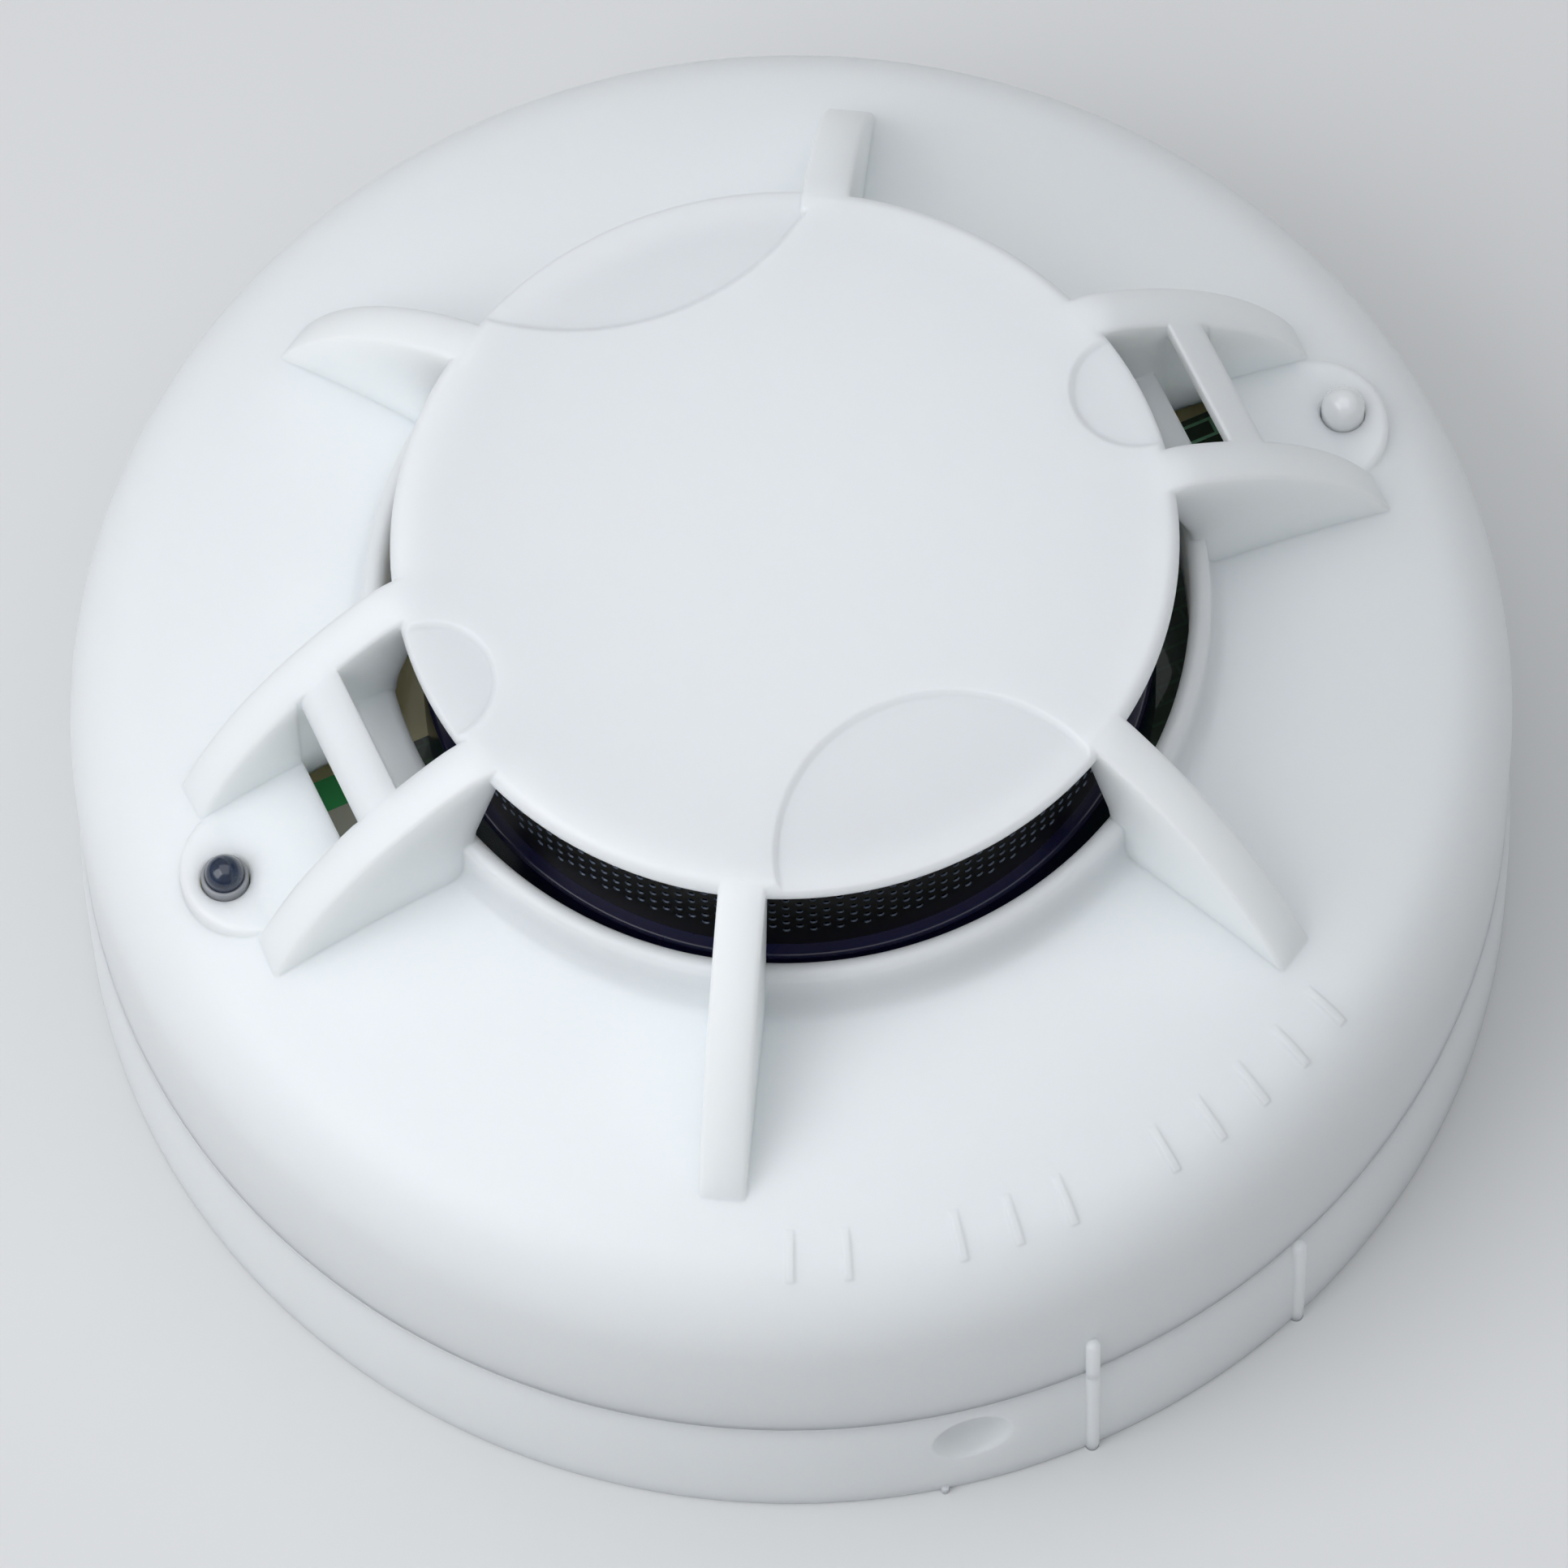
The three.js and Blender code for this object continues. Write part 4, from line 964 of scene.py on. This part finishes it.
# %% Finishes for the carried-over nodes
FINISH = {
    "rear_housing": white_abs, "housing_screw": zinc_plate, "terminal_screw": zinc_plate,
    "clamp_plate": zinc_plate, "contact_blade": tinned_brass, "contact_stud": tinned_brass,
    "contact_spring": spring_bronze, "photodiode_shield": zinc_plate,
    "infrared_emitter": milky_lens, "photodiode": dyed_lens, "thermistor": dipped_bead,
    "storage_capacitor": drawn_can, "filter_capacitor": drawn_can,
    "controller_chip": component_epoxy, "amplifier_chip": component_epoxy,
    "surge_suppressor": component_epoxy, "programming_header": component_epoxy,
}
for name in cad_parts:
    kind = name.rstrip("0123456789").rstrip("_")
    if name in FINISH or kind in FINISH:
        for slot in bpy.data.objects[name].material_slots:
            slot.material = FINISH.get(name) or FINISH[kind]

# %% [markdown]
# The studio is a pale floor, a surround that is dim at the horizon, a wide soft lamp
# straight above and a second one high on the left, a little in front. Light from above
# keeps the cap and the shoulder bright and even, while the wall of the skirt falls into a
# gentle shade.

# %% Floor, surround and lights
FLOOR_HALF = 2.0               # metres
LAMPS_AIM = Vector((0, 0, 0.03))
LAMPS = (("overhead", (0, 0, 0.93), 1.0, 3.4), ("key", (-0.577, -0.269, 0.666), 0.7, 3.8))


def floor():
    bm = bmesh.new()
    bmesh.ops.create_grid(bm, x_segments=1, y_segments=1, size=FLOOR_HALF)
    paper, tree, shader = new_material("seamless_paper", IOR=1.45)
    surface(tree, shader, ("#dcdcdc", "#dadada"), (0.9, 0.95), 2 * MM, 0.01 * MM)
    sheet = as_object("floor", bm)
    sheet.data.materials.append(paper)


def soft_lamp(name, place, size, power):
    data = bpy.data.lights.new(name, "AREA")
    data.size = size
    data.energy = power
    data.color = colour("#fafcff")[:3]
    lamp_object = bpy.data.objects.new(name, data)
    aim = LAMPS_AIM - Vector(place)
    lamp_object.matrix_world = (Matrix.Translation(place)
                                @ aim.to_track_quat("-Z", "Y").to_matrix().to_4x4())
    bpy.context.scene.collection.objects.link(lamp_object)


def surround():
    """An even surround that is dim at the horizon, so walls shade off towards the floor."""
    world = bpy.data.worlds.new("surround")
    world.use_nodes = True
    tree = world.node_tree
    facing = add(tree, "ShaderNodeTexCoord").outputs["Generated"]
    height = add(tree, "ShaderNodeSeparateXYZ", {0: facing}).outputs["Z"]
    glow = add(tree, "ShaderNodeMapRange", {
        "Value": height, "From Min": 0.08, "From Max": 0.35, "To Min": 0.10, "To Max": 0.42})
    background = tree.nodes["Background"]
    background.inputs["Color"].default_value = colour("#f6f9fc")
    tree.links.new(glow.outputs["Result"], background.inputs["Strength"])
    bpy.context.scene.world = world

floor()
surround()
for lamp_settings in LAMPS:
    soft_lamp(*lamp_settings)
bpy.context.scene.view_settings.view_transform = "Standard"
